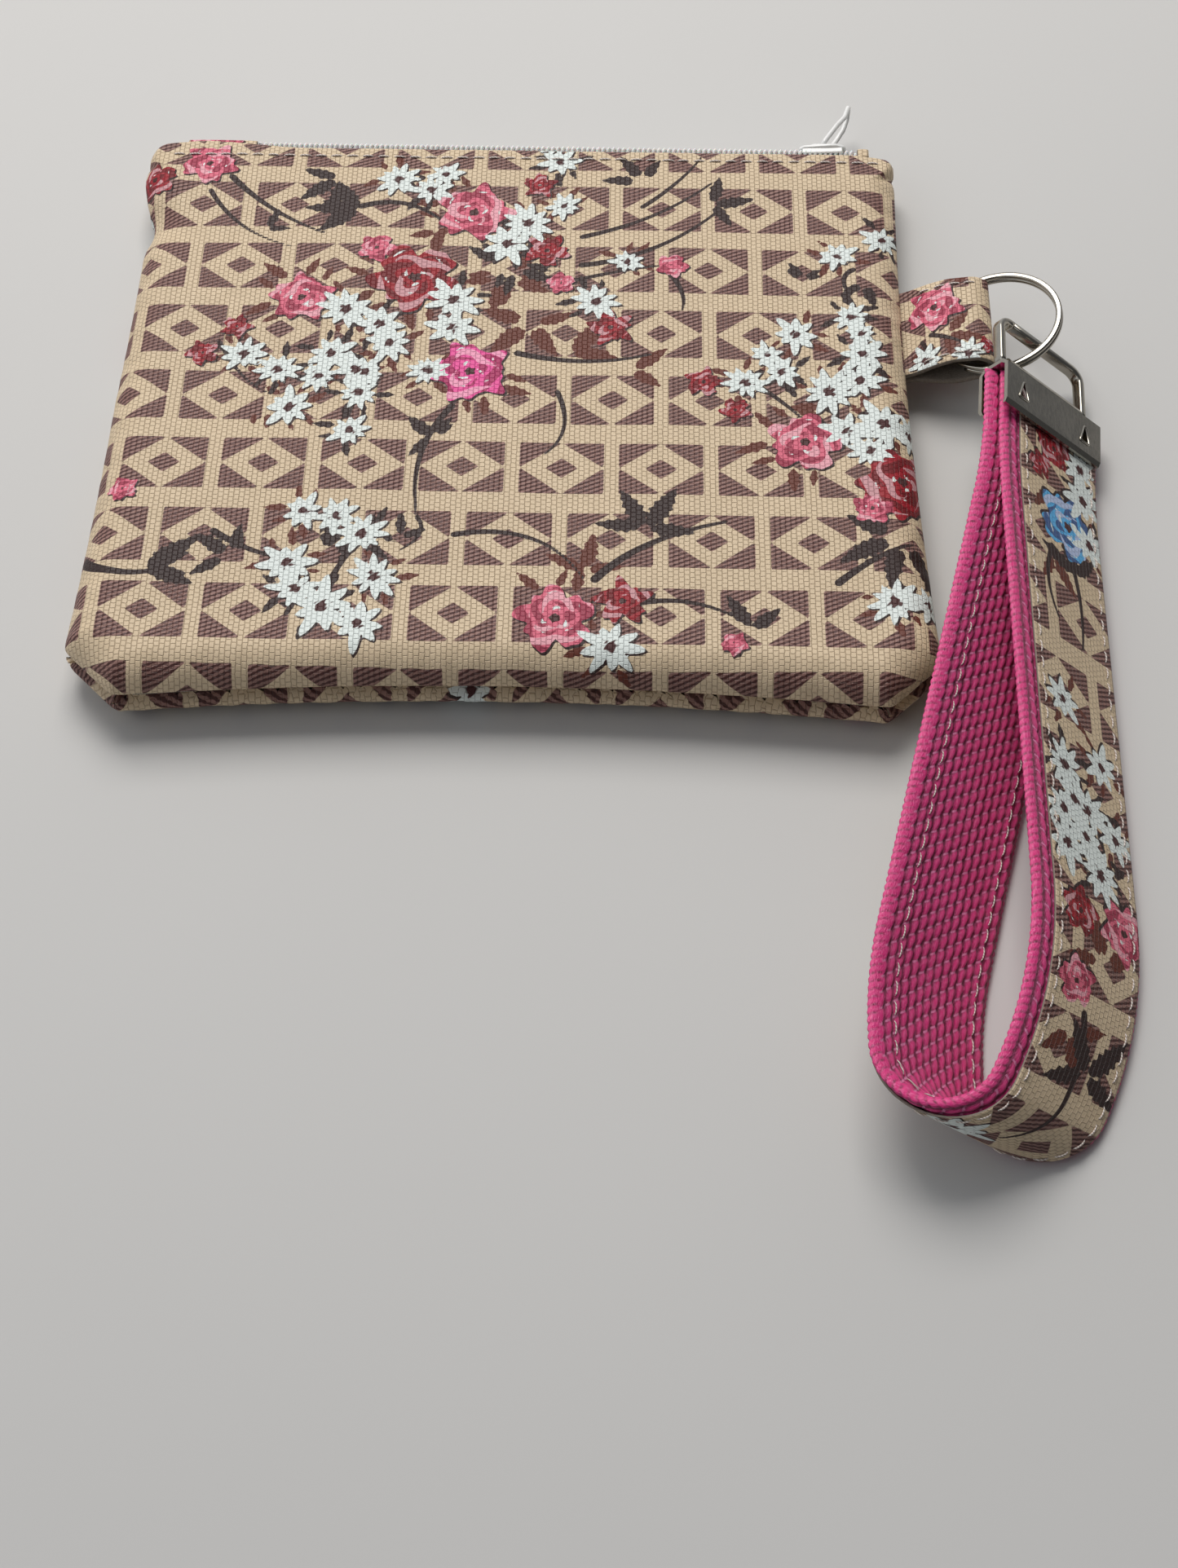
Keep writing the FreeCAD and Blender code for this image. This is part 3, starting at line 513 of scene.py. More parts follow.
def webbing_material():
    """Chunky nylon webbing: painted highlight on the loops' crowns, painted shade in the gaps, and fine
    filaments with painted sheen along each float.
    """
    shader = Shader("pink_webbing", 0.4, Specular_IOR_Level=0.6, Sheen_Weight=0.1)
    cloth = shader.field("cloth", "Vector")
    crown = shader.field("crown")
    stretched = shader.node("VectorMath", (cloth, (5.0, 0.9, 1.0)), operation="MULTIPLY")
    filament_sheen = shader.noise(1.6, stretched, 4.0, 0.65)
    patch = shader.noise(0.06, cloth, 2.0)
    # Painted light and shade: dark in the gaps between the loops and bright on their crowns, following the
    # loops' height.
    colour = shader.mix(shader.spread(crown, 0.2, 0.8, 0.0, 1.0), srgb(112, 4, 54), srgb(230, 34, 128))
    # Painted sheen: pale pink streaks along the filaments.
    colour = shader.mix(shader.spread(filament_sheen, 0.45, 0.75, 0.0, 0.75), colour, srgb(242, 112, 172))
    # Painted highlight: fine threads cross between the ends of the loops in each column, painted pale as
    # sheen.
    split = shader.split(cloth)
    under = shader.math("MULTIPLY", shader.math("LESS_THAN", split[2], 0.0), COLUMN / 2)
    row = shader.math("DIVIDE", shader.math("ADD", split[0], under), COLUMN)
    within = shader.math("SUBTRACT", shader.math("FRACT", row), 0.5)
    stagger = shader.math("MULTIPLY", shader.math("MODULO", shader.math("FLOOR", row), 2.0), 0.5)
    along = shader.math("MULTIPLY_ADD", split[1], 1 / FLOAT, stagger)
    along = shader.math("MULTIPLY_ADD", within, LOOP_SLANT, along)
    end = shader.math("ABSOLUTE", shader.math("SUBTRACT", shader.math("FRACT", along), 0.5))
    tie_highlight = shader.math("MULTIPLY", shader.spread(end, 0.40, 0.45, 0.0, 0.85), shader.spread(
        shader.math("ABSOLUTE", within), 0.30, 0.36, 1.0, 0.0))
    colour = shader.mix(shader.math("MULTIPLY", tie_highlight, shader.field("flat_face")), colour, srgb(240, 142, 190))
    colour = shader.mix(shader.spread(patch, 0.4, 0.7, 0.0, 0.18), colour, srgb(176, 16, 88))
    shader.set("Base Color", colour)
    shader.set("Roughness", shader.spread(filament_sheen, 0.3, 0.7, 0.46, 0.26))
    shader.set("Normal", shader.bump(filament_sheen, 0.00022, 0.85))
    return shader.material


def metal_material():
    """Nickel plate with faint rubbing marks."""
    shader = Shader("nickel_plate", 0.2, Metallic=1.0)
    place = shader.place()
    cloud = shader.noise(160, place, 4.0)
    stretched = shader.node("VectorMath", (place, (900.0, 260.0, 900.0)), operation="MULTIPLY")
    scratch = shader.noise(2.2, stretched, 3.0, 0.7)
    shader.set("Base Color", shader.mix(cloud, srgb(158, 153, 143), srgb(188, 182, 171)))
    shader.set("Roughness", shader.spread(scratch, 0.35, 0.75, 0.11, 0.22))
    shader.set("Normal", shader.bump(cloud, 0.000006, 0.3))
    return shader.material


printed = print_material("printed_canvas")
backing = cloudy_material("canvas_backing", 0.9, 2600, 3.0, (srgb(118, 108, 98), srgb(168, 158, 146)),
                          bump=(0.0002, 0.8), Specular_IOR_Level=0.2)
lining_cloth = weave_material("lining_cotton", srgb(200, 196, 188), srgb(150, 146, 138), 0.5)
tape_cloth = weave_material("tape_weave", srgb(236, 236, 232), srgb(196, 196, 192), 0.6)
thread = thread_material("stitch_thread", srgb(236, 228, 222), srgb(176, 160, 150))
webbing_cloth = webbing_material()
nickel = metal_material()
enamel = cloudy_material("white_enamel", 0.28, 900, 2.0, (srgb(226, 226, 224), srgb(240, 240, 238)),
                         (0.22, 0.36), (0.00002, 0.4), Specular_IOR_Level=0.5, Coat_Weight=0.3,
                         Coat_Roughness=0.15)
nylon = cloudy_material("zipper_nylon", 0.35, 500, 2.0, (srgb(222, 222, 220), srgb(244, 244, 242)),
                        (0.28, 0.45), Subsurface_Weight=0.25, Subsurface_Scale=0.0006)


# ---------------------------------------------------------------- printed flowers
# Each drawing function returns signed distances in millimetres, below zero inside the ink.

TILE_WIDE, TILE_HIGH, TILE_PITCH, ROW_PITCH = 15.8, 12.6, 18.6, 17.4
TILE_CORNER_GAP = 3.0
LEAF_SCALE, STEM_SCALE = 1.4, 1.6


def tile_distance(across, along):
    """Rows of oblong tiles, half a tile out of step, each with a pale lozenge outline."""
    row = np.floor(along / ROW_PITCH + 0.5)
    shift = np.where(row % 2 == 0, 0.0, TILE_PITCH / 2)
    a = (across + shift + TILE_PITCH / 2) % TILE_PITCH - TILE_PITCH / 2
    b = along - row * ROW_PITCH
    tile = np.maximum(np.abs(a) - TILE_WIDE / 2, np.abs(b) - TILE_HIGH / 2)
    half_a, half_b = TILE_WIDE / 2, TILE_HIGH / 2
    slope = half_a * half_b / math.hypot(half_a, half_b)
    lozenge = (np.abs(a) / half_a + np.abs(b) / half_b - 1) * slope
    return np.maximum(tile, np.minimum(-lozenge, lozenge + TILE_CORNER_GAP))


def polar(across, along, x, y):
    return np.hypot(across - x, along - y), np.arctan2(along - y, across - x)


def daisy_distance(across, along, x, y, radius, turn, petals=9):
    far, angle = polar(across, along, x, y)
    lobe = np.abs(np.cos(petals * angle / 2 + turn)) ** 0.8
    uneven = 1 + 0.16 * np.sin(2 * angle + 3 * turn) + 0.14 * np.sin(5 * angle + turn)
    split = 0.10 * np.abs(np.sin(petals * angle + 2 * turn)) * (far > 0.75 * radius)
    return (far - 1.12 * radius * (0.36 + 0.64 * lobe - split) * uneven) * 0.5


def daisy_strokes(across, along, x, y, radius, turn, petals):
    """Fine dark strokes from a daisy's heart out along its petals."""
    far, angle = polar(across, along, x, y)
    ray = np.abs(np.sin(petals * angle / 2 + turn + 1.57)) * far * 2 / petals - 0.10
    reach = radius * (0.42 + 0.14 * np.sin(3 * angle + turn))
    return np.maximum(ray, far - reach)


def blot_distance(across, along, x, y, radius, turn, ragged=0.1):
    far, angle = polar(across, along, x, y)
    edge = 0.86 + ragged * np.cos(5 * angle + turn) + 0.6 * ragged * np.cos(9 * angle - 2 * turn)
    edge = edge + 0.35 * ragged * np.cos(14 * angle + 3 * turn)
    return (far - radius * edge) * 0.8


def petal_lines(across, along, x, y, radius, turn):
    """Crescent shadows between a rose's petals."""
    far, angle = polar(across, along, x, y)
    phase = far / radius * 2.3 + 0.32 * np.sin(3 * angle + turn) + angle / (2 * math.pi)
    fold = np.abs(phase % 1.0 - 0.5)
    open_side = 0.22 + 0.14 * np.sin(2 * angle + 1.7 * turn)
    return np.where(far > 0.24 * radius, (fold - open_side) * radius / 2.3, 1.0)


def leaf_distance(across, along, x, y, length, width, turn):
    a = (across - x) * math.cos(turn) + (along - y) * math.sin(turn)
    b = -(across - x) * math.sin(turn) + (along - y) * math.cos(turn)
    share = np.clip(a / length, 0, 1)
    half = width / 2 * np.sin(math.pi * share ** 0.7) * (1 + 0.22 * np.sin(a * 3.6 + x))
    beyond = np.maximum(-a, a - length)
    return np.maximum(np.abs(b) - half, beyond * 0.9)


def stem_distance(across, along, start, bend, end, width):
    """A stroke along a curve through three control points, thinner to its end."""
    steps = 14
    best = np.full(across.shape, 99.0)
    share = np.linspace(0, 1, steps + 1)[:, None]
    path = ((1 - share) ** 2 * np.array(start) + 2 * share * (1 - share) * np.array(bend)
            + share ** 2 * np.array(end))
    for index in range(steps):
        first, last = path[index], path[index + 1]
        run = last - first
        reach = max(run @ run, 1e-6)
        part = np.clip(((across - first[0]) * run[0] + (along - first[1]) * run[1]) / reach, 0, 1)
        off = np.hypot(across - first[0] - part * run[0], along - first[1] - part * run[1])
        best = np.minimum(best, off - width / 2 * (1 - 0.6 * (index + part) / steps))
    return best


def draw_print(across, along, design, tile_shift=(0.0, 0.0)):
    """All ink layers of a design over the given cloth coordinates."""
    shape = across.shape
    ink = {key: np.full(shape, 9.0) for key in ("leaf", "stem", "bloom", "vein", "light", "white", "heart")}
    ink["motif"] = tile_distance(across + tile_shift[0], along + tile_shift[1])
    tint = np.zeros(shape + (3,))
    tint[...] = TINTS["rose"]

    def lay(layer, near, distance):
        ink[layer][near] = np.minimum(ink[layer][near], distance)

    def close_to(x, y, reach):
        return (np.abs(across - x) < reach) & (np.abs(along - y) < reach)

    for number, (kind, x, y, radius) in enumerate(design["blooms"]):
        turn = 1.3 + 2.4 * number
        near = close_to(x, y, radius * 1.5 + 1.0)
        a, b = across[near], along[near]
        if kind == "daisy":
            petals = 8 + number % 3
            flower = daisy_distance(a, b, x, y, radius, turn, petals)
            lay("white", near, flower)
            lay("stem", near, daisy_distance(a, b, x + 0.3, y - 0.35, radius, turn, petals) - 0.05)
            lay("heart", near, blot_distance(a, b, x, y, radius * 0.22, turn, 0.3))
            lay("heart", near, daisy_strokes(a, b, x, y, radius, turn, petals))
            continue
        ragged = 0.2 if kind == "bud" else 0.13
        flower = blot_distance(a, b, x, y, radius, turn, ragged)
        newer = flower < ink["bloom"][near]
        shade = tint[near]
        shade[newer] = TINTS["red" if kind == "bud" else kind]
        tint[near] = shade
        lay("bloom", near, flower)
        lines = petal_lines(a, b, x, y, radius, turn)
        vein = ink["vein"][near]
        vein[newer] = lines[newer]
        ink["vein"][near] = vein
        glint = petal_lines(a, b, x, y, radius, turn + 2.2) + 0.03 * radius
        light = ink["light"][near]
        light[newer] = glint[newer]
        ink["light"][near] = light
        lay("stem", near, blot_distance(a, b, x + 0.3, y - 0.4, radius * 1.02, turn, ragged))
        lay("heart", near, blot_distance(a, b, x, y, radius * 0.15, turn, 0.2))
        far, angle = polar(a, b, x, y)
        curl = (0.26 + 0.07 * np.sin(3 * angle + turn)) * radius
        band = np.abs(far - curl) - 0.055 * radius * (np.cos(3 * angle + 2 * turn) - 0.1)
        rim = np.abs(far - 0.62 * radius - 0.6 * curl * np.sin(angle)) \
            - 0.045 * radius * (np.cos(5 * angle + turn) - 0.35)
        lay("white", near, np.minimum(band, rim) if kind != "bud" else far - 0.12 * radius)
    for x, y, length, width, degrees, ink_name in design["leaves"]:
        near = close_to(x, y, length + 3)
        lay(ink_name, near, leaf_distance(across[near], along[near], x, y, length, width,
                                          math.radians(degrees)))
    for start, bend, end, width in design["stems"]:
        middle = [(start[k] + end[k]) / 2 for k in (0, 1)]
        reach = math.dist(start, end) + math.dist(start, bend) / 2 + 2
        near = close_to(middle[0], middle[1], reach)
        lay("stem", near, stem_distance(across[near], along[near], start, bend, end, STEM_SCALE * width))
    ink["tint"] = tint
    return ink


def leafy(x, y, count, reach, lean, spread=150, size=4.2, ink_name="leaf"):
    """A fan of leaves round a point, outside a flower of the given reach."""
    leaves = []
    for index in range(count):
        angle = lean + spread * ((index + 0.5) / count - 0.5)
        wave = LEAF_SCALE * size * (0.75 + 0.45 * ((index * 7) % 5) / 4)
        leaves.append((x + reach * math.cos(math.radians(angle)), y + reach * math.sin(math.radians(angle)),
                       wave, 0.34 * wave, angle + 20 * (-1) ** index, ink_name))
    return leaves


def filled_out(design, every, low, high):
    """The design with leaves set beside every daisy, and a smaller daisy beside some of them."""
    blooms, leaves = [], list(design["leaves"])
    for number, bloom in enumerate(design["blooms"]):
        kind, x, y, radius = bloom
        if kind == "daisy":
            angle = 2.4 * number
            beside = (x + 1.45 * radius * math.cos(angle), y + 1.45 * radius * math.sin(angle))
            if number % every == 0 and low < beside[0] < high:
                blooms.append((kind, *beside, 0.86 * radius))
            leaves += leafy(x, y, 5, 0.85 * radius, math.degrees(angle) + 160, 260, 2.9,
                            "leaf" if number % 2 else "stem")
        blooms.append(bloom)
    return {"blooms": blooms, "leaves": leaves, "stems": design["stems"]}


def fans(*rows):
    return [leaf for row in rows for leaf in leafy(*row)]


def daisies(*rows):
    return [("daisy", *row) for row in rows]


FRONT_DESIGN = filled_out({
    "blooms": [
        ("rose", -65, 64, 6), ("red", -76, 59, 5), ("rose", -10, 51, 8), ("red", -21, 32, 9.5),
        ("rose", -43, 26, 6.5), ("rose", -29, 40, 4), ("magenta", -9, 7, 8), ("rose", 55, -10, 7.5),
        ("red", 73, -19, 9), ("rose", 9, -53, 7.5), ("bud", -55, 18, 3), ("bud", -61, 11, 3.2),
        ("bud", 3, 59, 3.4), ("bud", 5, 40, 4.5), ("bud", 18, 19, 4.4), ("bud", 36, 5, 3.6),
        ("bud", 42, -2, 3), ("bud", 21, -49, 5), ("rose", 30, 36, 3.4), ("rose", -72, -24, 3),
        ("rose", 67, -26, 4), ("rose", 41, -58, 2.6), ("rose", 8, 31, 3),
    ] + daisies(
        (-26, 60, 4.2), (-19, 57, 3.8), (-34, 23, 5), (-27, 19, 4.6), (-25, 14, 4.4), (-36, 11, 4.2),
        (-53, 11, 4), (-46, 7, 4), (-31, 7, 4), (-30, 1, 3.8), (-43, -3, 4.4), (-31, -9, 3.6),
        (-17, 7, 3.6), (-13, 26, 5.2), (1, 48, 5), (-3, 42, 5), (8, 53, 3.4), (7, 66, 3.8), (21, 37, 3),
        (15, 26, 4.4), (54, 18, 4.2), (65, 23, 3.4), (63, 40, 3.6), (72, 45, 3.8), (44, 5, 4),
        (51, 8, 3.6), (60, 3, 5), (67, 13, 4.4), (66, 6, 4.4), (63, -7, 4.4), (70, -5, 5), (76, -6, 4),
        (-38, -29, 3.6), (-27, -34, 4.4), (-40, -41, 4.6), (-38, -47, 4.2), (-24, -44, 4.6),
        (-33, -51, 5.4), (70, -48, 4.6), (77, -47, 4), (19, -59, 5),
    ),
    "leaves": fans(
        (-10, 51, 5, 7, 160), (-21, 32, 7, 9, 235, 200), (-43, 26, 6, 6, 140, 220),
        (-3, 33, 8, 3, 300, 300, 5), (-2, 36, 8, 3, 20, 330, 4.6, "stem"), (-9, 7, 4, 7, 310, 120),
        (2, 20, 7, 2, 250, 260, 6), (55, -10, 6, 7, 200, 200), (62, -2, 4, 4, 150, 120, 4),
        (72, -33, 8, 3, 230, 200, 6.5, "stem"), (9, -53, 5, 7, 60, 140, 4), (14, -42, 6, 1, 80, 220, 5),
        (-48, -1, 5, 4, 330, 200, 3.4), (-37, 60, 5, 2, 200, 110, 5.5, "stem"),
        (-33, 51, 6, 1, 170, 120, 6.5, "stem"), (24, 60, 6, 2, 120, 170, 4.6, "stem"),
        (38, 54, 6, 1, 10, 200, 5, "stem"), (25, -32, 7, 1, 70, 200, 6.5, "stem"),
        (-50, -40, 5, 2, 130, 160, 4.6, "stem"), (-32, -38, 4, 1, 60, 200, 3.6, "stem"),
        (-15, -10, 5, 1, 120, 230, 4, "stem"), (-66, -43, 4, 1, 10, 90, 7, "stem"),
        (56, 33, 4, 1, 80, 200, 3, "stem"), (-17, 45, 4, 1, 230, 160, 4),
        (68, 32, 4, 1, 250, 160, 3.6, "stem"), (10, 12, 3, 1, 10, 70, 7),
        (44, -55, 3, 1, 60, 120, 5, "stem"), (-20, -35, 3, 1, 40, 100, 3.4, "stem"),
        (-52, 45, 3, 1, 20, 90, 3.4, "stem"), (22, 8, 3, 1, 340, 120, 5),
    ),
    "stems": [
        ((-60, 60), (-52, 50), (-40, 44), 0.9), ((-33, 52), (-24, 56), (-16, 48), 1.0),
        ((12, 44), (26, 48), (38, 60), 0.8), ((12, 36), (28, 38), (40, 53), 0.9),
        ((24, 53), (32, 60), (36, 68), 0.7), ((6, 30), (16, 34), (28, 36), 0.8),
        ((-12, -2), (-20, -14), (-17, -30), 0.9), ((-17, -30), (-14, -34), (-20, -38), 0.6),
        ((8, 2), (12, -8), (6, -14), 0.7), ((0, 12), (14, 8), (26, 12), 0.9),
        ((44, 6), (52, 0), (56, -6), 0.8), ((-54, -34), (-46, -40), (-38, -40), 0.9),
        ((-32, -46), (-30, -38), (-24, -34), 0.8), ((-10, -34), (6, -30), (14, -44), 0.8),
        ((16, -44), (24, -34), (40, -30), 1.1), ((22, -50), (34, -46), (44, -54), 0.8),
        ((-78, -40), (-72, -46), (-62, -43), 1.3), ((60, -44), (66, -38), (74, -34), 1.0),
        ((66, 36), (62, 34), (66, 26), 0.8), ((-64, 56), (-58, 44), (-46, 40), 0.7),
        ((30, 33), (33, 28), (32, 24), 0.8), ((-58, 14), (-52, 2), (-46, 0), 0.6),
    ],
}, 4, -90, 90)


def front_colours(across, along):
    return draw_print(across, along, FRONT_DESIGN)


def back_colours(across, along):
    """The back is cut from the same cloth, half a repeat along and turned round."""
    return draw_print(-across, -along + 4, FRONT_DESIGN, (TILE_PITCH / 2, 0.0))


STRAP_DESIGN = filled_out({
    "blooms": [
        ("red", 12, 12, 5), ("blue", 9, 29, 8), ("daisy", 4, 20, 5), ("daisy", 3, 30, 4.4),
        ("bud", 16, 18, 3), ("daisy", 15, 70, 3.8), ("daisy", 16, 84, 4.4), ("daisy", 6, 80, 4),
        ("daisy", 11, 91, 4.6), ("daisy", 4, 94, 4), ("daisy", 9, 103, 4.8), ("daisy", 17, 100, 4.6),
        ("red", 15, 112, 4.6), ("rose", 4, 112, 6), ("rose", 15, 125, 4.6), ("daisy", 16, 160, 5),
        ("rose", 8, 178, 6), ("daisy", 4, 190, 4.4), ("daisy", 14, 200, 4.4), ("red", 9, 216, 5),
        ("daisy", 12, 240, 4.6), ("rose", 6, 258, 6), ("daisy", 15, 268, 4.2), ("blue", 9, 290, 4.4),
    ],
    "leaves": fans(
        (8, 40, 5, 1, 270, 120, 6, "stem"), (14, 38, 3, 1, 80, 90, 5), (9, 98, 6, 3, 40, 300, 4, "stem"),
        (9, 120, 5, 2, 270, 200, 5), (8, 140, 7, 1, 250, 260, 6.5, "stem"), (14, 134, 5, 1, 100, 200, 5),
        (12, 22, 4, 3, 10, 200, 4), (9, 168, 5, 2, 90, 300, 5, "stem"), (9, 206, 5, 1, 90, 300, 5),
        (9, 250, 6, 1, 270, 260, 5, "stem"), (8, 280, 5, 1, 90, 200, 5),
    ),
    "stems": [
        ((10, 34), (6, 44), (8, 56), 0.9), ((14, 36), (18, 44), (14, 52), 0.8),
        ((12, 130), (8, 142), (12, 156), 0.9), ((8, 184), (12, 194), (8, 206), 0.8),
        ((10, 220), (14, 232), (10, 244), 0.8), ((8, 262), (12, 274), (8, 286), 0.8),
    ],
}, 2, 1, 20)

TAB_DESIGN = {
    "blooms": [
        ("rose", 5, 4, 6), ("daisy", 2.5, -9, 3.6), ("daisy", 11, -9.5, 3.4), ("bud", 15, -7, 2),
        ("daisy", 26, 5, 4), ("rose", 30, -4, 5),
    ],
    "leaves": (leafy(9, 9, 3, 1, 60, 100, 4) + leafy(7, -4, 5, 1, 330, 160, 4.4)
               + leafy(4, -5, 4, 1, 240, 120, 3.4) + leafy(24, -2, 4, 1, 90, 200, 4)),
    "stems": [((4, -3), (8, -5), (12, -8), 0.7), ((2, -4), (4, -8), (3, -12), 0.6)],
}


def paint(item, across, along, ink):
    """Store cloth coordinates and ink distances on a mesh's points."""
    store(item, "cloth", np.stack([across, along, np.zeros_like(across)], -1).reshape(-1, 3))
    for layer, values in ink.items():
        store(item, layer, values.reshape(-1, 3) if layer == "tint" else values.ravel())


# ---------------------------------------------------------------- pouch panels

def arc_between(start, middle, end, steps=60):
    """Points on the circle arc through three plane points."""
    (ax, ay), (bx, by), (cx, cy) = start, middle, end
    det = 2 * (ax * (by - cy) + bx * (cy - ay) + cx * (ay - by))
    a2, b2, c2 = ax * ax + ay * ay, bx * bx + by * by, cx * cx + cy * cy
    ux = (a2 * (by - cy) + b2 * (cy - ay) + c2 * (ay - by)) / det
    uy = (a2 * (cx - bx) + b2 * (ax - cx) + c2 * (bx - ax)) / det
    first = math.atan2(ay - uy, ax - ux)
    through = math.atan2(by - uy, bx - ux) - first
    last = math.atan2(cy - uy, cx - ux) - first
    through, last = through % (2 * math.pi), last % (2 * math.pi)
    if through > last:
        last -= 2 * math.pi
    radius = math.hypot(ax - ux, ay - uy)
    angles = first + np.linspace(0, last, steps)
    return np.stack([ux + radius * np.cos(angles), uy + radius * np.sin(angles)], 1)


def cloth_outline():
    """The four sides of a panel's cloth, each from corner to corner: foot, right, top and left."""
    top = EDGE_Y + LIP_SLACK
    foot = FOOT_Y - ROLL_SLACK
    wide, low = HALF_TOP + ROLL_SLACK * 0.8, HALF_LOW + ROLL_SLACK
    waist = (wide + low) / 2 - SIDE_BOW
    cut, rounding = CORNER_CUT, CORNER_ROUND + 3.2
    shoulder = foot + cut
    lower = arc_between((-low + cut, foot), (0, foot + FOOT_BOW), (low - cut, foot), 120)
    side = arc_between((low, shoulder), (waist, (top + shoulder) / 2 - 3), (wide, top - rounding), 120)
    bend = math.sqrt(0.5) * rounding
    turn = arc_between((wide, top - rounding), (wide - rounding + bend, top - rounding + bend),
                       (wide - rounding, top), 20)
    upper = np.stack([np.linspace(wide - rounding, -(wide - rounding), 80), np.full(80, top)], 1)
    mirror = np.array([-1.0, 1.0])
    loop = np.concatenate([lower, side, turn[1:], upper[1:],
                           (turn * mirror)[::-1][1:], (side * mirror)[::-1]])
    # Soften the chamfer's corners by averaging along an even loop.
    closed = np.concatenate([loop, loop[:1]])
    even = resample(closed, 0.5)[0][:-1]
    even = softened(np.concatenate([even[-11:], even, even[:11]]), 23)
    # The left side is fuller than the right one, with a pinch under its stuffed top corner.
    x, y = even[:, 0], even[:, 1]
    fuller = 1.5 * (1 - np.abs(y) / 95) + 2.0 * hump(y, 60, 8) - 1.4 * hump(y, 46, 3.6)
    even[:, 0] = x - fuller * smoothstep(-x, 40, 76)
    even[:, 1] = y + 1.7 * smoothstep(-x, 46, 68) * smoothstep(y, 40, 68)
    return even


def split_sides(loop):
    """Cut the outline at its four corners, for a four-sided patch."""
    targets = [(-HALF_LOW, FOOT_Y), (HALF_LOW, FOOT_Y), (HALF_TOP, EDGE_Y), (-HALF_TOP, EDGE_Y)]
    cuts = [int(np.argmin(np.hypot(loop[:, 0] - x * 1.05, loop[:, 1] - y * 1.05))) for x, y in targets]
    sides = []
    for index in range(4):
        first, last = cuts[index], cuts[(index + 1) % 4]
        if last <= first:
            last += len(loop)
        sides.append(loop[np.arange(first, last + 1) % len(loop)])
    return sides


def patch(loop, step):
    """A grid of cloth points filling the outline, rows from foot to top."""
    foot, right, top, left = split_sides(loop)
    cols = int(160 / step)
    rows = int(145 / step)

    foot, top = (resample(side, count=cols)[0] for side in (foot, top[::-1]))
    right, left = (resample(side, count=rows)[0] for side in (right, left[::-1]))
    u = np.linspace(0, 1, cols)[None, :, None]
    v = np.linspace(0, 1, rows)[:, None, None]
    grid = ((1 - v) * foot[None] + v * top[None] + (1 - u) * left[:, None] + u * right[:, None]
            - (1 - u) * (1 - v) * foot[0] - u * (1 - v) * foot[-1] - (1 - u) * v * top[0] - u * v * top[-1])
    return grid


def edge_of(points, loop):
    """For each point: distance to the outline, the nearest outline point and its inward normal."""
    fine = resample(np.concatenate([loop, loop[:1]]), 0.2)[0][:-1]
    tangent = np.roll(fine, -6, 0) - np.roll(fine, 6, 0)
    tangent = unit(tangent)
    inward = np.stack([-tangent[:, 1], tangent[:, 0]], 1)
    tree = KDTree(len(fine))
    for index, (x, y) in enumerate(fine):
        tree.insert((x, y, 0), index)
    tree.balance()
    found = np.array([tree.find((x, y, 0))[1] for x, y in points])
    base = fine[found]
    return np.hypot(*(points - base).T), base, inward[found], found * 0.2


def soft_noise(x, y, size, seed):
    """Smooth noise made of a few waves."""
    waves = np.random.default_rng(seed)
    total = np.zeros_like(x)
    for _ in range(7):
        angle = waves.uniform(0, math.pi)
        length = size * waves.uniform(0.7, 1.6)
        total += np.sin((x * math.cos(angle) + y * math.sin(angle)) * 2 * math.pi / length
                        + waves.uniform(0, 2 * math.pi))
    return total / 3.5


def roof(y):
    slope = (ROOF_LOW - ROOF_HIGH) / (EDGE_Y - LIP_ROLL - FOOT_Y - ROLL)
    return ROOF_HIGH + slope * (EDGE_Y - LIP_ROLL - y)


def drape(cloth, loop, front):
    """Where the panel's cloth lies: flat in the middle, rolled down to the seam at its edges."""
    distance, base, inward, place = edge_of(cloth, loop)
    lip = smoothstep(-inward[:, 1], 0.35, 0.95)
    slack = ROLL_SLACK + (LIP_SLACK - ROLL_SLACK) * lip
    roll = ROLL + (LIP_ROLL - ROLL) * lip
    # The mouth closes beyond the ends of the zipper.
    mouth = lip * (1 - smoothstep(np.abs(base[:, 0]), MOUTH_OPEN, MOUTH_SHUT))
    seam = SEAM_Z + ((LIP_FRONT if front else LIP_BACK) - SEAM_Z) * mouth
    share = np.clip(distance / (roll + slack), 0, 1)
    angle = share * math.pi / 2
    inset = np.where(share < 1, slack + roll * (1 - np.cos(angle)), distance)
    inset = inset + SEAM_RECESS * (1 - lip) * (1 - smoothstep(share, 0.0, 0.26)) ** 1.5
    clear = (distance > 0.4)[:, None]
    inward = np.where(clear, (cloth - base) / np.maximum(distance, 0.4)[:, None], inward)
    plan = base + inward * inset[:, None]
    x, y = cloth[:, 0], cloth[:, 1]
    calm = smoothstep(distance, 2.0, 26.0)
    if front:
        level = roof(y) + 0.28 * soft_noise(x, y, 62, 3) * calm + 0.10 * soft_noise(x, y, 21, 5)
        # A low ridge over the zipper tape's inner edge and a pucker below the left corner.
        level = level + 0.25 * hump(y, 61, 5)
        dent = np.exp(-(((x + 76) / 9) ** 2 + ((y - 46) / 5) ** 2))
        swell = np.exp(-(((x + 76) / 7) ** 2 + ((y - 57) / 6) ** 2))
        level = level - 0.9 * dent + 0.9 * swell
    else:
        rest = smoothstep(distance, roll + slack, roll + slack + 12)
        level = 0.22 * (1 + soft_noise(x, y, 34, 8)) * (1 - rest)
    height = seam + (level - seam) * np.sin(angle)
    # Small gathers where the cloth is turned at the seam.
    gather = np.sin(place * 2 * math.pi / 6.5 + 1.5 * np.sin(place * 0.21)) * (1 - lip)
    height = height + 0.16 * gather * np.sin(math.pi * share) ** 2 * (1 if front else -1)
    return np.column_stack([plan, height])


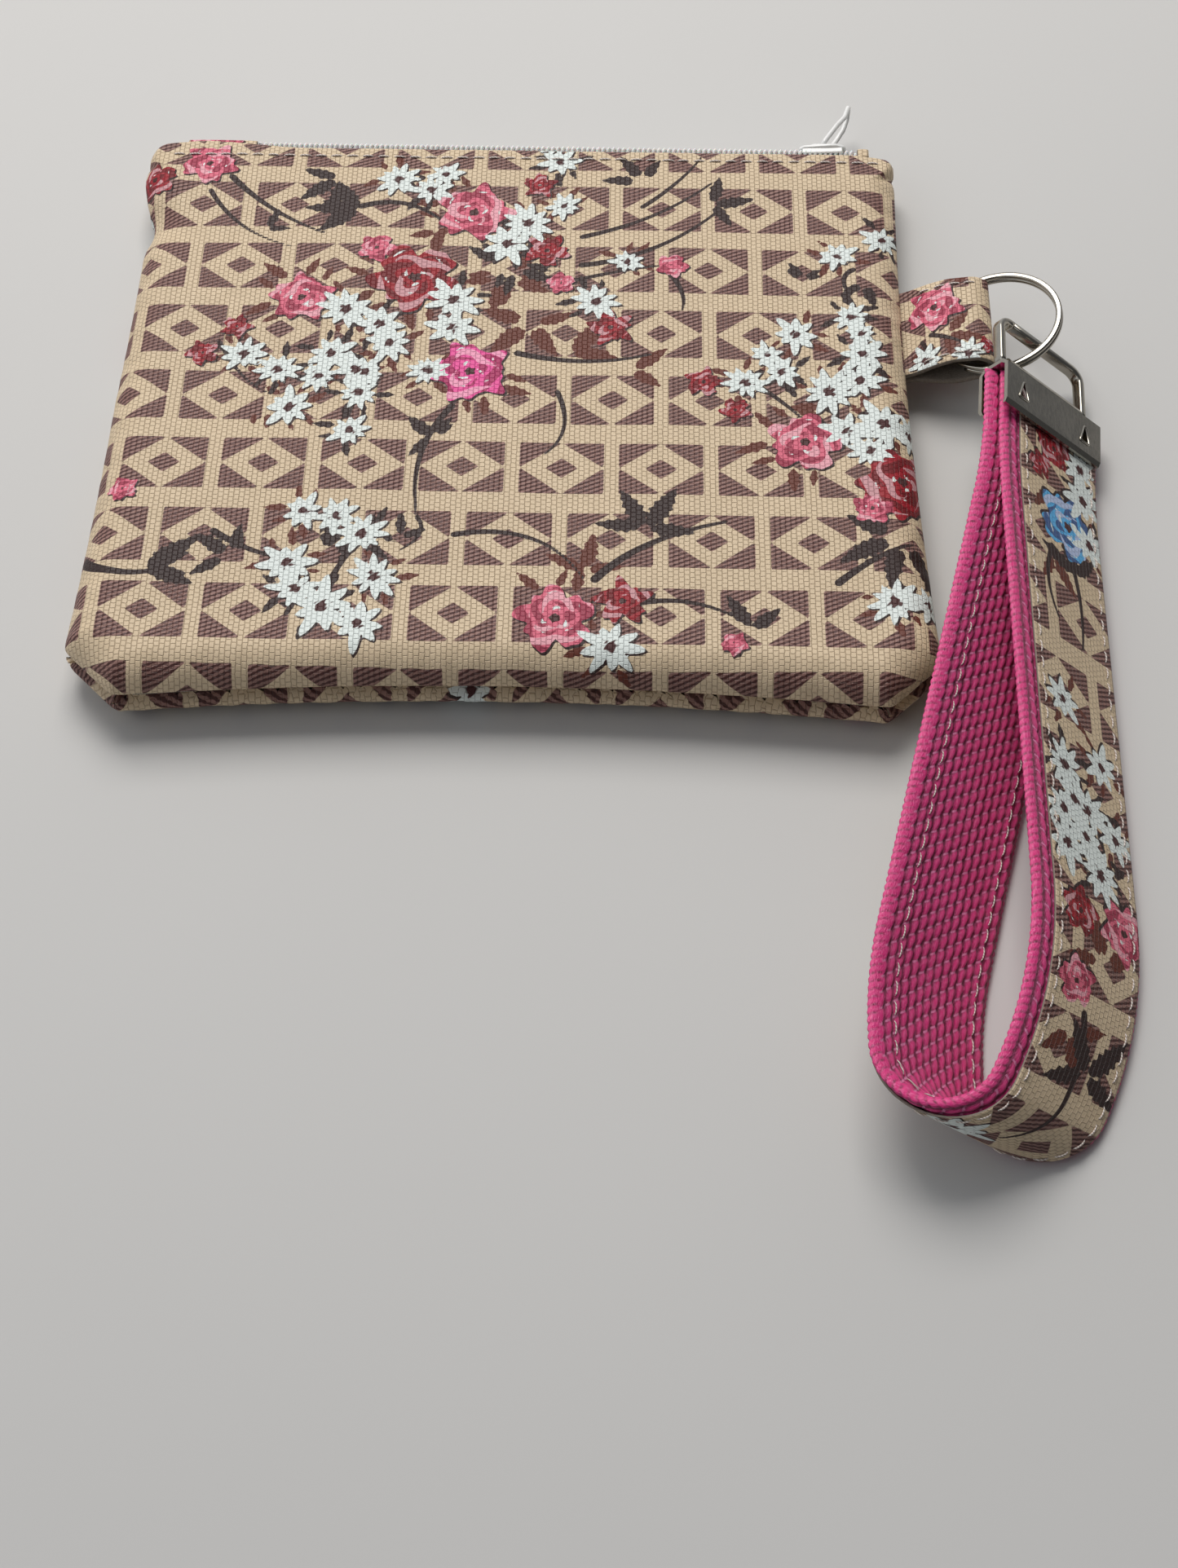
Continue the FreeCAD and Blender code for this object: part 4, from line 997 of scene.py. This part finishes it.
def panel(name, front, colours, step):
    """One printed panel with its edge turned in at the seam."""
    loop = cloth_outline()
    cloth = patch(loop, step)
    rows, cols = cloth.shape[:2]
    flat = cloth.reshape(-1, 2)
    points = drape(flat, loop, front)
    ring = border(rows, cols)
    edge = points[ring]
    centre_pull = edge[:, :2] - np.roll(edge, -1, 0)[:, :2]
    length = np.maximum(np.linalg.norm(centre_pull, axis=1, keepdims=True), 1e-6)
    inward = np.stack([centre_pull[:, 1], -centre_pull[:, 0]], 1) / length
    sign = 1 if front else -1
    loops, faces = [points], [quads(rows, cols) if front else quads(rows, cols)[:, ::-1]]
    count = len(points)
    before = ring
    for inset, drop in ((0.5, 0.45), (1.4, 0.6), (3.0, 0.5)):
        level = edge.copy()
        level[:, :2] += inward * inset
        level[:, 2] -= sign * drop * 0.4
        current = count + np.arange(len(ring))
        side = np.stack([np.roll(before, -1), before, current, np.roll(current, -1)], -1)
        faces.append(side if front else side[:, ::-1])
        loops.append(level)
        before = current
        count += len(ring)
    item = mesh(name, np.concatenate(loops), np.concatenate(faces))
    full = np.concatenate([flat, flat[ring], flat[ring], flat[ring]])
    paint(item, full[:, 0], full[:, 1], colours(full[:, 0], full[:, 1]))
    belong(item, "pouch", "printed_canvas", None, printed)
    return item, loop


front_panel, outline = panel("front_canvas", True, front_colours, CLOTH_STEP)
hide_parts("front_panel")
back_panel, _ = panel("back_canvas", False, back_colours, CLOTH_STEP * 1.15)
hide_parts("back_panel")


def lining(name, node, front):
    """The lining lies just inside a panel and stops below the zipper tape."""
    loop = cloth_outline() * LINING_SCALE
    cloth = patch(loop, LINING_STEP)
    cloth = cloth[cloth[:, 0, 1] < LINING_TOP]
    points = drape(cloth.reshape(-1, 2), loop, front)
    points[:, 2] += -LINING_INSIDE if front else LINING_INSIDE
    middle = SEAM_Z + (LINING_APART if front else -LINING_APART)
    points[:, 2] = np.maximum(points[:, 2], middle) if front else np.minimum(points[:, 2], middle)
    grid = points.reshape(cloth.shape[0], cloth.shape[1], 3)
    item = shell(name, grid if front else grid[:, ::-1], LINING_THICK, 0)
    belong(item, "pouch", "lining", node, lining_cloth)
    return item


lining("pouch_lining_front", "lining_front", True)
lining("pouch_lining_back", "lining_back", False)


def mouth_stitching():
    """Topstitching below the zipper on both panels."""
    xs = np.linspace(-MOUTH_SEAM_X, MOUTH_SEAM_X, 260)
    cloth = np.stack([xs, np.full_like(xs, EDGE_Y - MOUTH_SEAM_IN)], 1)
    for name, node, front in (("front_topstitch", "topstitch_front", True),
                              ("back_topstitch", "topstitch_back", False)):
        path = drape(cloth, outline, front)
        normals = np.tile([0.0, 0.0, 1.0 if front else -1.0], (len(xs), 1))
        path[:, 2] += 0.02 if front else 0.05
        item = stitches(name, path, normals, STITCH_LONG, 0.55, 0.2)
        belong(item, "pouch", "thread", node, thread)


mouth_stitching()


# ---------------------------------------------------------------- zipper

def zipper():
    for side, sign in (("front", 1), ("back", -1)):
        # The tape comes from inside the panel, folds and holds the coil on its face.
        corners = [(0, TAPE_IN, ZIP_Z + TAPE_RISE * sign), (0, TAPE_FACE - 0.2, ZIP_Z + TAPE_RISE * sign),
                   (0, TAPE_FACE - 0.2, ZIP_Z + 0.35 * sign)]
        profile = resample(rounded_path(corners, [0, 1.2, 0]), 0.6)[0]
        xs = np.linspace(-TAPE_HALF, TAPE_HALF, 180)
        grid = np.stack([np.stack([np.full(len(profile), x), profile[:, 1], profile[:, 2]], 1) for x in xs])
        grid = grid if sign < 0 else grid[:, ::-1]
        tape = shell("tape_" + side, grid, TAPE_THICK, 0)
        belong(tape, "pouch", "zipper_tape", "zipper_tape_" + side, tape_cloth)

        # One continuous flattened helix; its loops reach past the middle and mesh with the other's.
        turns = int((COIL_RIGHT - COIL_LEFT) / COIL_PITCH)
        share = np.arange(turns * COIL_STEPS) / COIL_STEPS
        angle = 2 * math.pi * share + (0 if sign > 0 else math.pi)
        reach = 1.25 - 0.1 * np.cos(2 * angle)
        path = np.stack([COIL_LEFT + 0.4 + share * COIL_PITCH, TAPE_FACE + 0.9 + 0.45 * np.sin(angle),
                         ZIP_Z + sign * (1.02 + reach * np.cos(angle) * 0.95)], 1)
        coil = sweep("coil_" + side, path, round_section(COIL_WIRE, COIL_WIRE, 0.3, 1), (1, 0, 0))
        belong(coil, "pouch", "zipper_coil", "zipper_coil_" + side, nylon)

    for side, left, right in STOP_SPANS:
        profile = resample(rounded_path(
            [(0, TAPE_FACE - STOP_BACK, ZIP_Z + STOP_HALF), (0, TAPE_FACE + STOP_FRONT, ZIP_Z + STOP_HALF),
             (0, TAPE_FACE + STOP_FRONT, ZIP_Z - STOP_HALF), (0, TAPE_FACE - STOP_BACK, ZIP_Z - STOP_HALF)],
            [0, 1.3, 1.3, 0]), 0.4)[0]
        xs = np.linspace(left, right, max(6, int((right - left) / 0.4)))
        bulge = 0.18 * np.sin(np.linspace(0, math.pi, len(xs))) ** 0.5
        grid = np.stack([np.stack([np.full(len(profile), x), profile[:, 1] + b, profile[:, 2]], 1)
                         for x, b in zip(xs, bulge)])
        cover = shell("zipper_stop_" + side, grid, STOP_THICK, 1)
        across = np.repeat(xs[:, None], grid.shape[1], 1)
        along = np.repeat(np.linspace(60, 71, grid.shape[1])[None], len(xs), 0)
        across, along = np.tile(across, (2, 1)), np.tile(along, (2, 1))
        paint(cover, across.ravel(), along.ravel(), draw_print(across.ravel(), along.ravel(), FRONT_DESIGN))
        belong(cover, "pouch", "printed_canvas", "zipper_end_tab_" + side, printed, backing)


zipper()


def plate(outline_points, low, high):
    """A flat plate: an outline in X and Z, from low to high along Y.  Returns points and faces."""
    count = len(outline_points)
    points = [(x, low, z) for x, z in outline_points] + [(x, high, z) for x, z in outline_points]
    faces = [list(range(count)), list(range(count, 2 * count))[::-1]]
    for index in range(count):
        after = (index + 1) % count
        faces.append([after, index, index + count, after + count])
    return points, faces


def merged(name, parts):
    points, faces = [], []
    for part_points, part_faces in parts:
        base = len(points)
        points += list(part_points)
        faces += [[base + k for k in face] for face in part_faces]
    return mesh(name, points, faces)


def slider():
    """A coil slider: two shield-shaped plates, flanges, the bridge and the wire pull."""
    half = SLIDER_HALF

    def shield(scale):
        shape = [(-half, 1.9), (-half + 0.9, 2.5), (0.5, 3.0), (2.6, 3.1), (4.3, 2.6), (half, 1.5)]
        upper = [(SLIDER_X + x, ZIP_Z + z * scale) for x, z in shape]
        lower = [(SLIDER_X + x, ZIP_Z - z * scale) for x, z in shape[::-1]]
        return upper + lower

    parts = [plate(shield(1.0), SLIDER_FACE, SLIDER_TOP),
             plate(shield(0.75), TAPE_FACE - 1.6, TAPE_FACE - 0.8)]
    for sign in (1, -1):
        wall = [(SLIDER_X - 4.4, ZIP_Z + sign * 2.3), (SLIDER_X + 3.9, ZIP_Z + sign * 2.75),
                (SLIDER_X + 3.9, ZIP_Z + sign * 2.2), (SLIDER_X - 4.4, ZIP_Z + sign * 1.8)]
        parts.append(plate(wall if sign < 0 else wall[::-1], TAPE_FACE + 0.5, SLIDER_FACE + 0.1))
    wedge = [(SLIDER_X + 0.6, ZIP_Z), (SLIDER_X + 4.0, ZIP_Z + 0.3), (SLIDER_X + 4.0, ZIP_Z - 0.3)]
    parts.append(plate(wedge, TAPE_FACE - 1.5, SLIDER_FACE + 0.1))
    body = bevelled(merged("slider_casting", parts), 0.25)
    belong(body, "slider", "white_enamel", "slider_body", enamel)

    foot = SLIDER_TOP
    arch = rounded_path([(SLIDER_X - 2.6, foot - 0.2, ZIP_Z), (SLIDER_X - 2.5, foot + 1.95, ZIP_Z),
                         (SLIDER_X + 2.5, foot + 1.95, ZIP_Z), (SLIDER_X + 2.6, foot - 0.2, ZIP_Z)],
                        [0, 1.1, 1.1, 0])
    bridge = sweep("slider_bridge", arch, round_section(0.85, 1.6, 0.3), (0, 0, 1))
    belong(bridge, "slider", "white_enamel", "slider_crown", enamel)

    # The pull: a wire loop, pinched below its tip, its tip bent back a little.
    lean = PULL_LEAN
    pivot = np.array([SLIDER_X, foot + 0.75, ZIP_Z])
    low_side = [(0, -PULL_HALF), (6.4, -PULL_HALF * 1.02), (9.6, -1.75), (PULL_LONG, -PULL_TIP)]
    shape = low_side + [(reach, -offset) for reach, offset in low_side[::-1]]
    flat = rounded_path([(y, z, 0) for y, z in shape], [0.9, 5, 5, 1.4, 1.4, 5, 5, 0.9], closed=True)
    reach, offset = flat[:, 0], flat[:, 1]
    kink = -0.10 * np.maximum(reach - 9.0, 0) ** 1.6
    path = np.stack([pivot[0] - reach * math.sin(lean) + kink * math.cos(lean),
                     pivot[1] + reach * math.cos(lean) + kink * math.sin(lean),
                     pivot[2] + offset], 1)
    side = np.array([math.cos(lean), math.sin(lean), 0.0])
    pull = sweep("pull_wire", path, round_section(PULL_WIRE, PULL_WIRE, 0.5, 3), side, closed=True)
    belong(pull, "pull", "white_enamel", "pull_loop", enamel)


slider()


# ---------------------------------------------------------------- side tab

def tab():
    """A strip of the canvas folded over the ring and caught in the side seam."""
    tilt = math.radians(TAB_RISE)
    turn = TAB_LONG - TAB_BELLY * 0.75
    keys = [(-3.0, 0.9), (0.0, TAB_ROOT), (0.25 * TAB_LONG, 2.75), (0.5 * TAB_LONG, TAB_BELLY),
            (turn, TAB_BELLY * 0.86), (TAB_LONG - 0.5, TAB_BELLY * 0.42), (TAB_LONG, 0.0)]
    upper = np.array(keys)
    lower = upper[::-1][1:] * np.array([1.0, -1.0])
    profile = np.concatenate([upper, lower])
    profile = resample(profile, 0.3)[0]
    ends = (np.repeat(profile[:1], 7, 0), np.repeat(profile[-1:], 7, 0))
    profile = softened(np.concatenate([ends[0], profile, ends[1]]), 15)
    profile, reach = resample(profile, 0.38)
    ys = np.arange(-TAB_WIDE / 2, TAB_WIDE / 2 + 0.01, TAB_STEP)
    along, across = np.meshgrid(reach, ys, indexing="ij")
    px = np.repeat(profile[:, :1], len(ys), 1)
    pz = np.repeat(profile[:, 1:], len(ys), 1)
    # The open lower edge gapes a little more than the upper one, and the root is pinched flat.
    gape = 1 + 0.10 * smoothstep(-across, -8, 10.8) * np.clip(px / 8, 0, 1)
    pz = pz * gape
    edge_dip = 0.22 * (np.abs(across) / (TAB_WIDE / 2)) ** 6
    pz = pz - np.sign(pz) * edge_dip * np.clip(px / 4, 0, 1)
    origin = np.array([HALF_TOP + 0.4, TAB_Y, SEAM_Z])
    grid = np.stack([origin[0] + px * math.cos(tilt) - pz * math.sin(tilt), origin[1] + across,
                     origin[2] + px * math.sin(tilt) + pz * math.cos(tilt)], -1)
    item = shell("tab_fold", grid, TAB_THICK)
    cloth_u = np.tile(along.ravel(), 2)
    cloth_v = np.tile(across.ravel(), 2)
    ink = draw_print(cloth_u - 3.0, cloth_v, TAB_DESIGN, (5.0, 3.0))
    paint(item, cloth_u, cloth_v, ink)
    dress(item, printed, backing)
    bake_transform(item)
    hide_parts("side_tab")
    normals = grid_normals(grid)
    runs = []
    half = len(profile) // 2
    for place in (TAB_SEAM, TAB_WIDE - TAB_SEAM):
        col = int(place / TAB_STEP)
        for rows in (slice(12, half - 4), slice(half + 4, len(profile) - 12)):
            runs.append((grid[rows, col], normals[rows, col]))
    pieces = [stitches(f"run_{k}", path, out, 2.5, 0.5, 0.19) for k, (path, out) in enumerate(runs)]
    joined = join("tab_seams", pieces)
    belong(joined, "tab", "thread", "tab_stitching", thread)


tab()


# ---------------------------------------------------------------- ring, bail and clamp

def split_ring():
    """Nearly two turns of half-round wire, stepping from the lower turn to the upper one."""
    degrees = np.arange(18, 703, 4.0)
    step = smoothstep(degrees, 338, 382)
    rise = -0.5 + step
    angle = np.radians(degrees + 215)
    centre = np.array([RING_X, TAB_Y, RING_Z])
    tilt = Matrix.Rotation(-math.radians(RING_TILT), 4, "Y")
    flat = np.stack([RING_MID * np.cos(angle), RING_MID * np.sin(angle), rise], 1)
    axis = tuple(tilt @ Vector((0, 0, 1)))
    ring = sweep("ring_coil", move(flat, tilt) + centre, round_section(1.3, 0.97, 0.4, 4), axis)
    belong(ring, "ring", "nickel", "split_ring", nickel)


split_ring()

strap_place = (Matrix.Translation(STRAP_ORIGIN) @ Matrix.Rotation(math.radians(STRAP_YAW), 4, "Z")
               @ Matrix.Rotation(math.radians(STRAP_PITCH), 4, "X"))
RULING = np.array([-math.cos(LEAN), 0.0, math.sin(LEAN)])
FACE = np.array([math.sin(LEAN), 0.0, math.cos(LEAN)])
hardware_place = strap_place @ Matrix((
    (RULING[0], 0, -FACE[0], 0), (RULING[1], 1, -FACE[1], 0), (RULING[2], 0, -FACE[2], 0), (0, 0, 0, 1)))
pivot_place = hardware_place @ Matrix.Translation((0, KNUCKLE_Y, 0))


def bail_loop():
    """A rounded frame of flattened wire; its ends turn in as pins and meet in the clamp."""
    place = pivot_place @ Matrix.Rotation(math.radians(BAIL_DROOP), 4, "X")
    low = (CLAMP_LONG - BAIL_LONG + BAIL_WIRE) / 2
    high = (CLAMP_LONG + BAIL_LONG - BAIL_WIRE) / 2
    far = BAIL_HIGH - BAIL_WIRE / 2
    axis = tuple(place.to_3x3() @ Vector((0, 0, 1)))
    joint = high - 3.4
    legs = (
        ([(low + 0.2, -0.3, 0), (low, 1.0, 0), (low, far, 0), (joint, far, 0)], [0, 1.0, 2.7, 0]),
        ([(joint + 0.16, far, 0), (high, far, 0), (high, 1.0, 0), (high - 0.2, -0.3, 0)], [0, 2.7, 1.0, 0]),
    )
    loop = [sweep("bail_leg", move(rounded_path(corners, radii, steps=10), place),
                  round_section(BAIL_WIRE, BAIL_FACE, 0.5, 4), axis) for corners, radii in legs]
    pins = []
    for start in (low - 0.3, high + 0.3 - 3.6):
        line = [(start + k * 0.9, 0, 0) for k in range(5)]
        pins.append(sweep("pin", move(line, place), round_section(1.5, 1.5, 0.72, 4),
                          tuple(place.to_3x3() @ Vector((0, 0, 1)))))
    item = join("bail_wire", loop + pins)
    belong(item, "bail", "nickel", "bail", nickel)


bail_loop()


def clamp():
    """The clamp keeps its CAD body, with rolled edges and raised lips round the punched teeth."""
    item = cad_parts["strap_clamp"]
    item.data.materials.clear()
    item.data.materials.append(nickel)
    bevelled(item, 0.28)
    lips = []
    for x in (TOOTH_IN, CLAMP_LONG - TOOTH_IN):
        corners = [(x - TOOTH_HALF, TOOTH_LOW, JAW_BACK), (x + TOOTH_HALF, TOOTH_LOW, JAW_BACK),
                   (x, TOOTH_HIGH, JAW_BACK)]
        path = rounded_path(corners, [0.3, 0.3, 0.3], 3, closed=True)
        lips.append(sweep("lip", move(path, hardware_place), round_section(0.42, 0.5, 0.2, 2),
                          tuple(-FACE @ np.array(strap_place.to_3x3()).T), closed=True))
    lip = join("tooth_lips", lips)
    belong(lip, "strap", "nickel", None, nickel)


clamp()


# ---------------------------------------------------------------- strap

def walk(first_run, second_run):
    """The strap's middle line in its level section: (kind, start, angle, reach, turn) steps."""
    known = sum(turn for radius, turn in RUN_ARCS if turn is not None)
    arcs = [(radius, -180 - known if turn is None else turn) for radius, turn in RUN_ARCS]
    plan = [CLAMPED, arcs[0], first_run, arcs[1], arcs[2], arcs[3], second_run, arcs[4], CLAMPED]
    point = np.array([LAYER_APART / 2, -1.0])
    angle = math.radians(-90)
    steps = []
    for item in plan:
        normal = np.array([-math.sin(angle), math.cos(angle)])
        if isinstance(item, tuple):
            radius, turn = item[0], math.radians(item[1])
            side = math.copysign(1, turn)
            steps.append(("arc", point, angle, radius, turn))
            after = np.array([-math.sin(angle + turn), math.cos(angle + turn)])
            point = point + (normal - after) * radius * side
            angle += turn
        else:
            steps.append(("line", point, angle, item, 0.0))
            point = point + np.array([math.cos(angle), math.sin(angle)]) * item
    return steps, point


def strap_line(step=0.5):
    """Points and left normals of the strap's middle line, evenly spaced, and their distances."""
    target = np.array([-LAYER_APART / 2, -1.0])
    base = walk(0, 0)[1]
    runs = np.linalg.solve(np.column_stack([walk(1, 0)[1] - base, walk(0, 1)[1] - base]), target - base)
    points = []
    for kind, start, angle, reach, turn in walk(*runs)[0]:
        if kind == "line":
            count = max(2, int(reach / 0.5))
            heading = np.array([math.cos(angle), math.sin(angle)])
            points += [start + heading * reach * k / count for k in range(count)]
            continue
        side = math.copysign(1, turn)
        centre = start + np.array([-math.sin(angle), math.cos(angle)]) * reach * side
        count = max(4, int(abs(turn) * reach / 0.5))
        for k in range(count):
            now = angle + turn * k / count
            points.append(centre - np.array([-math.sin(now), math.cos(now)]) * reach * side)
    points.append(target)
    line, places = resample(points, step)
    tangent = unit(np.gradient(line, axis=0))
    return line, np.stack([-tangent[:, 1], tangent[:, 0]], 1), places


LINE, LEFT, PLACES = strap_line()


def strap_points(offset, rise):
    """Strap surface points: offset to the left of the middle line, raised along the width."""
    offset, rise = np.broadcast_arrays(offset, rise)
    flat = LINE[:, None] + LEFT[:, None] * offset[..., None]
    level = np.concatenate([flat, np.zeros(flat.shape[:2] + (1,))], -1)
    return move((level + RULING * (rise + STRAP_LIFT)[..., None]).reshape(-1, 3),
                strap_place).reshape(level.shape)


def weave_relief(place, rise):
    """Height, 0 to 1, of the webbing's slanted loops, each column half a loop out of step."""
    column = np.floor(rise / COLUMN)
    a = (rise / COLUMN) % 1 - 0.5
    b = (place / FLOAT + 0.5 * (column % 2) + LOOP_SLANT * a) % 1 - 0.5
    return np.sqrt(np.clip(1 - (a / 0.47) ** 2 - (b / 0.56) ** 2, 0, 1))


def webbing():
    faces_wide = 66
    rise = np.linspace(0.9, WEB_WIDE - 0.9, faces_wide)
    cap = np.radians(np.linspace(-60, 60, 5))
    core, crest = WEB_HALF - 0.55, 0.5
    section = [(1, r, 0.0) for r in rise]
    section += [(math.sin(-a), WEB_WIDE - 0.9 + 0.9 * math.cos(a), 1.0) for a in cap]
    section += [(-1, r, 0.0) for r in rise[::-1]]
    section += [(math.sin(a), 0.9 - 0.9 * math.cos(a), 1.0) for a in cap]
    side, height, selvedge = (np.array(values) for values in zip(*section))
    place = PLACES[:, None]
    loops = weave_relief(place, height[None] + np.where(side < 0, COLUMN / 2, 0)[None])
    braid = np.abs(np.sin(math.pi * place / 1.45 + side[None] * 1.1)) ** 0.6
    relief = np.where(selvedge[None] > 0, braid, loops)
    near_edge = smoothstep(np.minimum(height, WEB_WIDE - height), 0.0, 1.2)[None]
    thick = core + crest * relief
    thick = np.where(selvedge[None] > 0, core + 0.3 * braid, thick * (0.75 + 0.25 * near_edge))
    offset = side[None] * thick
    bulge = np.where(selvedge > 0, 1.0, 0.0)[None] * 0.14 * braid * np.sign(height - WEB_WIDE / 2)[None]
    grid = strap_points(offset, height[None] + bulge)
    rows, cols = grid.shape[:2]
    item = mesh("webbing_band", grid.reshape(-1, 3), tube(rows, cols))
    store(item, "crown", relief.ravel())
    store(item, "flat_face", np.broadcast_to(selvedge[None] == 0, relief.shape).ravel())
    cloth = np.stack([np.broadcast_to(height[None], relief.shape), np.broadcast_to(place, relief.shape),
                      np.broadcast_to(side[None], relief.shape)], -1)
    store(item, "cloth", cloth.reshape(-1, 3))
    belong(item, "strap", "pink_webbing", "strap_webbing", webbing_cloth)


webbing()


def print_strip():
    rise = np.arange(0, PRINT_WIDE + 0.01, 0.45)
    lift = WEB_HALF + 0.05 + 0.55 + 0.10 * np.sin(math.pi * rise / PRINT_WIDE) ** 0.4
    grid = strap_points(np.broadcast_to(lift[None], (len(LINE), len(rise))), PRINT_RISE + rise[None])
    outer = grid[:, ::-1]
    item = shell("print_band", outer, PRINT_THICK)
    place = np.repeat(PLACES[:, None], len(rise), 1)[:, ::-1]
    wide = np.repeat(rise[None], len(PLACES), 0)[:, ::-1]
    across = np.concatenate([wide.ravel(), wide.ravel()])
    along = np.concatenate([place.ravel(), place.ravel()])
    ink = draw_print(across, along, STRAP_DESIGN, (3.0, 2.0))
    paint(item, across, along, ink)
    belong(item, "strap", "printed_strip", "strap_print_strip", printed, backing)


print_strip()


def strap_seams():
    """Two lines of stitching, seen on the printed side and on the webbing side."""
    for name, node, rise in (("seam_lower", "strap_stitch_lower", PRINT_RISE + PRINT_SEAM),
                             ("seam_upper", "strap_stitch_upper", WEB_WIDE - PRINT_RISE - PRINT_SEAM)):
        pieces = []
        for side, offset in ((1, WEB_HALF + 0.68), (-1, -(WEB_HALF + 0.05))):
            path = strap_points(np.full((len(LINE), 1), offset), np.full((1, 1), rise))[:, 0]
            flat = np.column_stack([LEFT * side, np.zeros(len(LEFT))])
            normals = flat @ np.array(strap_place.to_3x3()).T
            keep = slice(20, -20)
            pieces.append(stitches(f"{name}_{side}", path[keep], normals[keep], STITCH_LONG, 0.8,
                                   0.17 if side > 0 else 0.14))
        item = join(name, pieces)
        belong(item, "strap", "thread", node, thread)


strap_seams()


# ---------------------------------------------------------------- room and camera

def room():
    size = 1400.0
    floor = mesh("table_top", [(-size, -size, 0), (size, -size, 0), (size, size, 0), (-size, size, 0)],
                 [[0, 1, 2, 3]], smooth=False)
    dress(floor, cloudy_material("table_paper", 0.6, 6.0, 3.0, (srgb(203, 202, 200), srgb(208, 207, 205)),
                                 Specular_IOR_Level=0.3))
    world = bpy.data.worlds.new("soft_room")
    world.use_nodes = True
    nodes, links = world.node_tree.nodes, world.node_tree.links
    place = nodes.new("ShaderNodeTexCoord")
    split = nodes.new("ShaderNodeSeparateXYZ")
    links.new(place.outputs["Generated"], split.inputs[0])
    glow = nodes.new("ShaderNodeMapRange")
    for slot, value in enumerate((-0.2, 0.9, 0.09, 0.66), start=1):
        glow.inputs[slot].default_value = value
    lean = nodes.new("ShaderNodeMath")
    lean.operation = "MULTIPLY_ADD"
    lean.inputs[1].default_value = -0.75
    links.new(split.outputs[0], lean.inputs[0])
    links.new(split.outputs[1], lean.inputs[2])
    links.new(lean.outputs[0], glow.inputs[0])
    nodes["Background"].inputs[0].default_value = (0.92, 0.95, 1.0, 1)
    links.new(glow.outputs[0], nodes["Background"].inputs[1])
    bpy.context.scene.world = world
    for name, place, aim, wide, power, tone in (
        ("key_light", (-0.12, 0.55, 0.85), (0.0, -0.02, 0.0), 0.6, 8.3, (1.0, 0.968, 0.93)),
        ("fill_light", (-0.8, -0.5, 0.8), (0.0, 0.0, 0.0), 0.9, 1.8, (0.93, 0.96, 1.0)),
    ):
        lamp = bpy.data.lights.new(name, "AREA")
        lamp.size = wide
        lamp.energy = power
        lamp.color = tone
        holder = bpy.data.objects.new(name, lamp)
        bpy.context.scene.collection.objects.link(holder)
        holder.location = place
        holder.rotation_euler = (Vector(aim) - Vector(place)).to_track_quat("-Z", "Y").to_euler()


def camera():
    """A hand-held view from the front, about 57 degrees down."""
    pitch, yaw, roll = math.radians(57.57), math.radians(0.916), math.radians(-0.176)
    ahead = Vector((-math.sin(yaw) * math.cos(pitch), math.cos(yaw) * math.cos(pitch), -math.sin(pitch)))
    right = Vector((math.cos(yaw), math.sin(yaw), 0))
    down = ahead.cross(right)
    across = right * math.cos(roll) + down * math.sin(roll)
    below = -right * math.sin(roll) + down * math.cos(roll)
    lens = bpy.data.cameras.new("view")
    lens.sensor_width = 36.0
    lens.sensor_fit = "AUTO"
    lens.lens = 55.76
    lens.clip_start = 0.01
    holder = bpy.data.objects.new("view", lens)
    bpy.context.scene.collection.objects.link(holder)
    turn = Matrix((across, -below, -ahead)).transposed().to_4x4()
    holder.matrix_world = Matrix.Translation(Vector((19.3, -310.4, 364.4)) * MM) @ turn
    bpy.context.scene.camera = holder


room()
camera()
bpy.context.scene.view_settings.view_transform = "Standard"
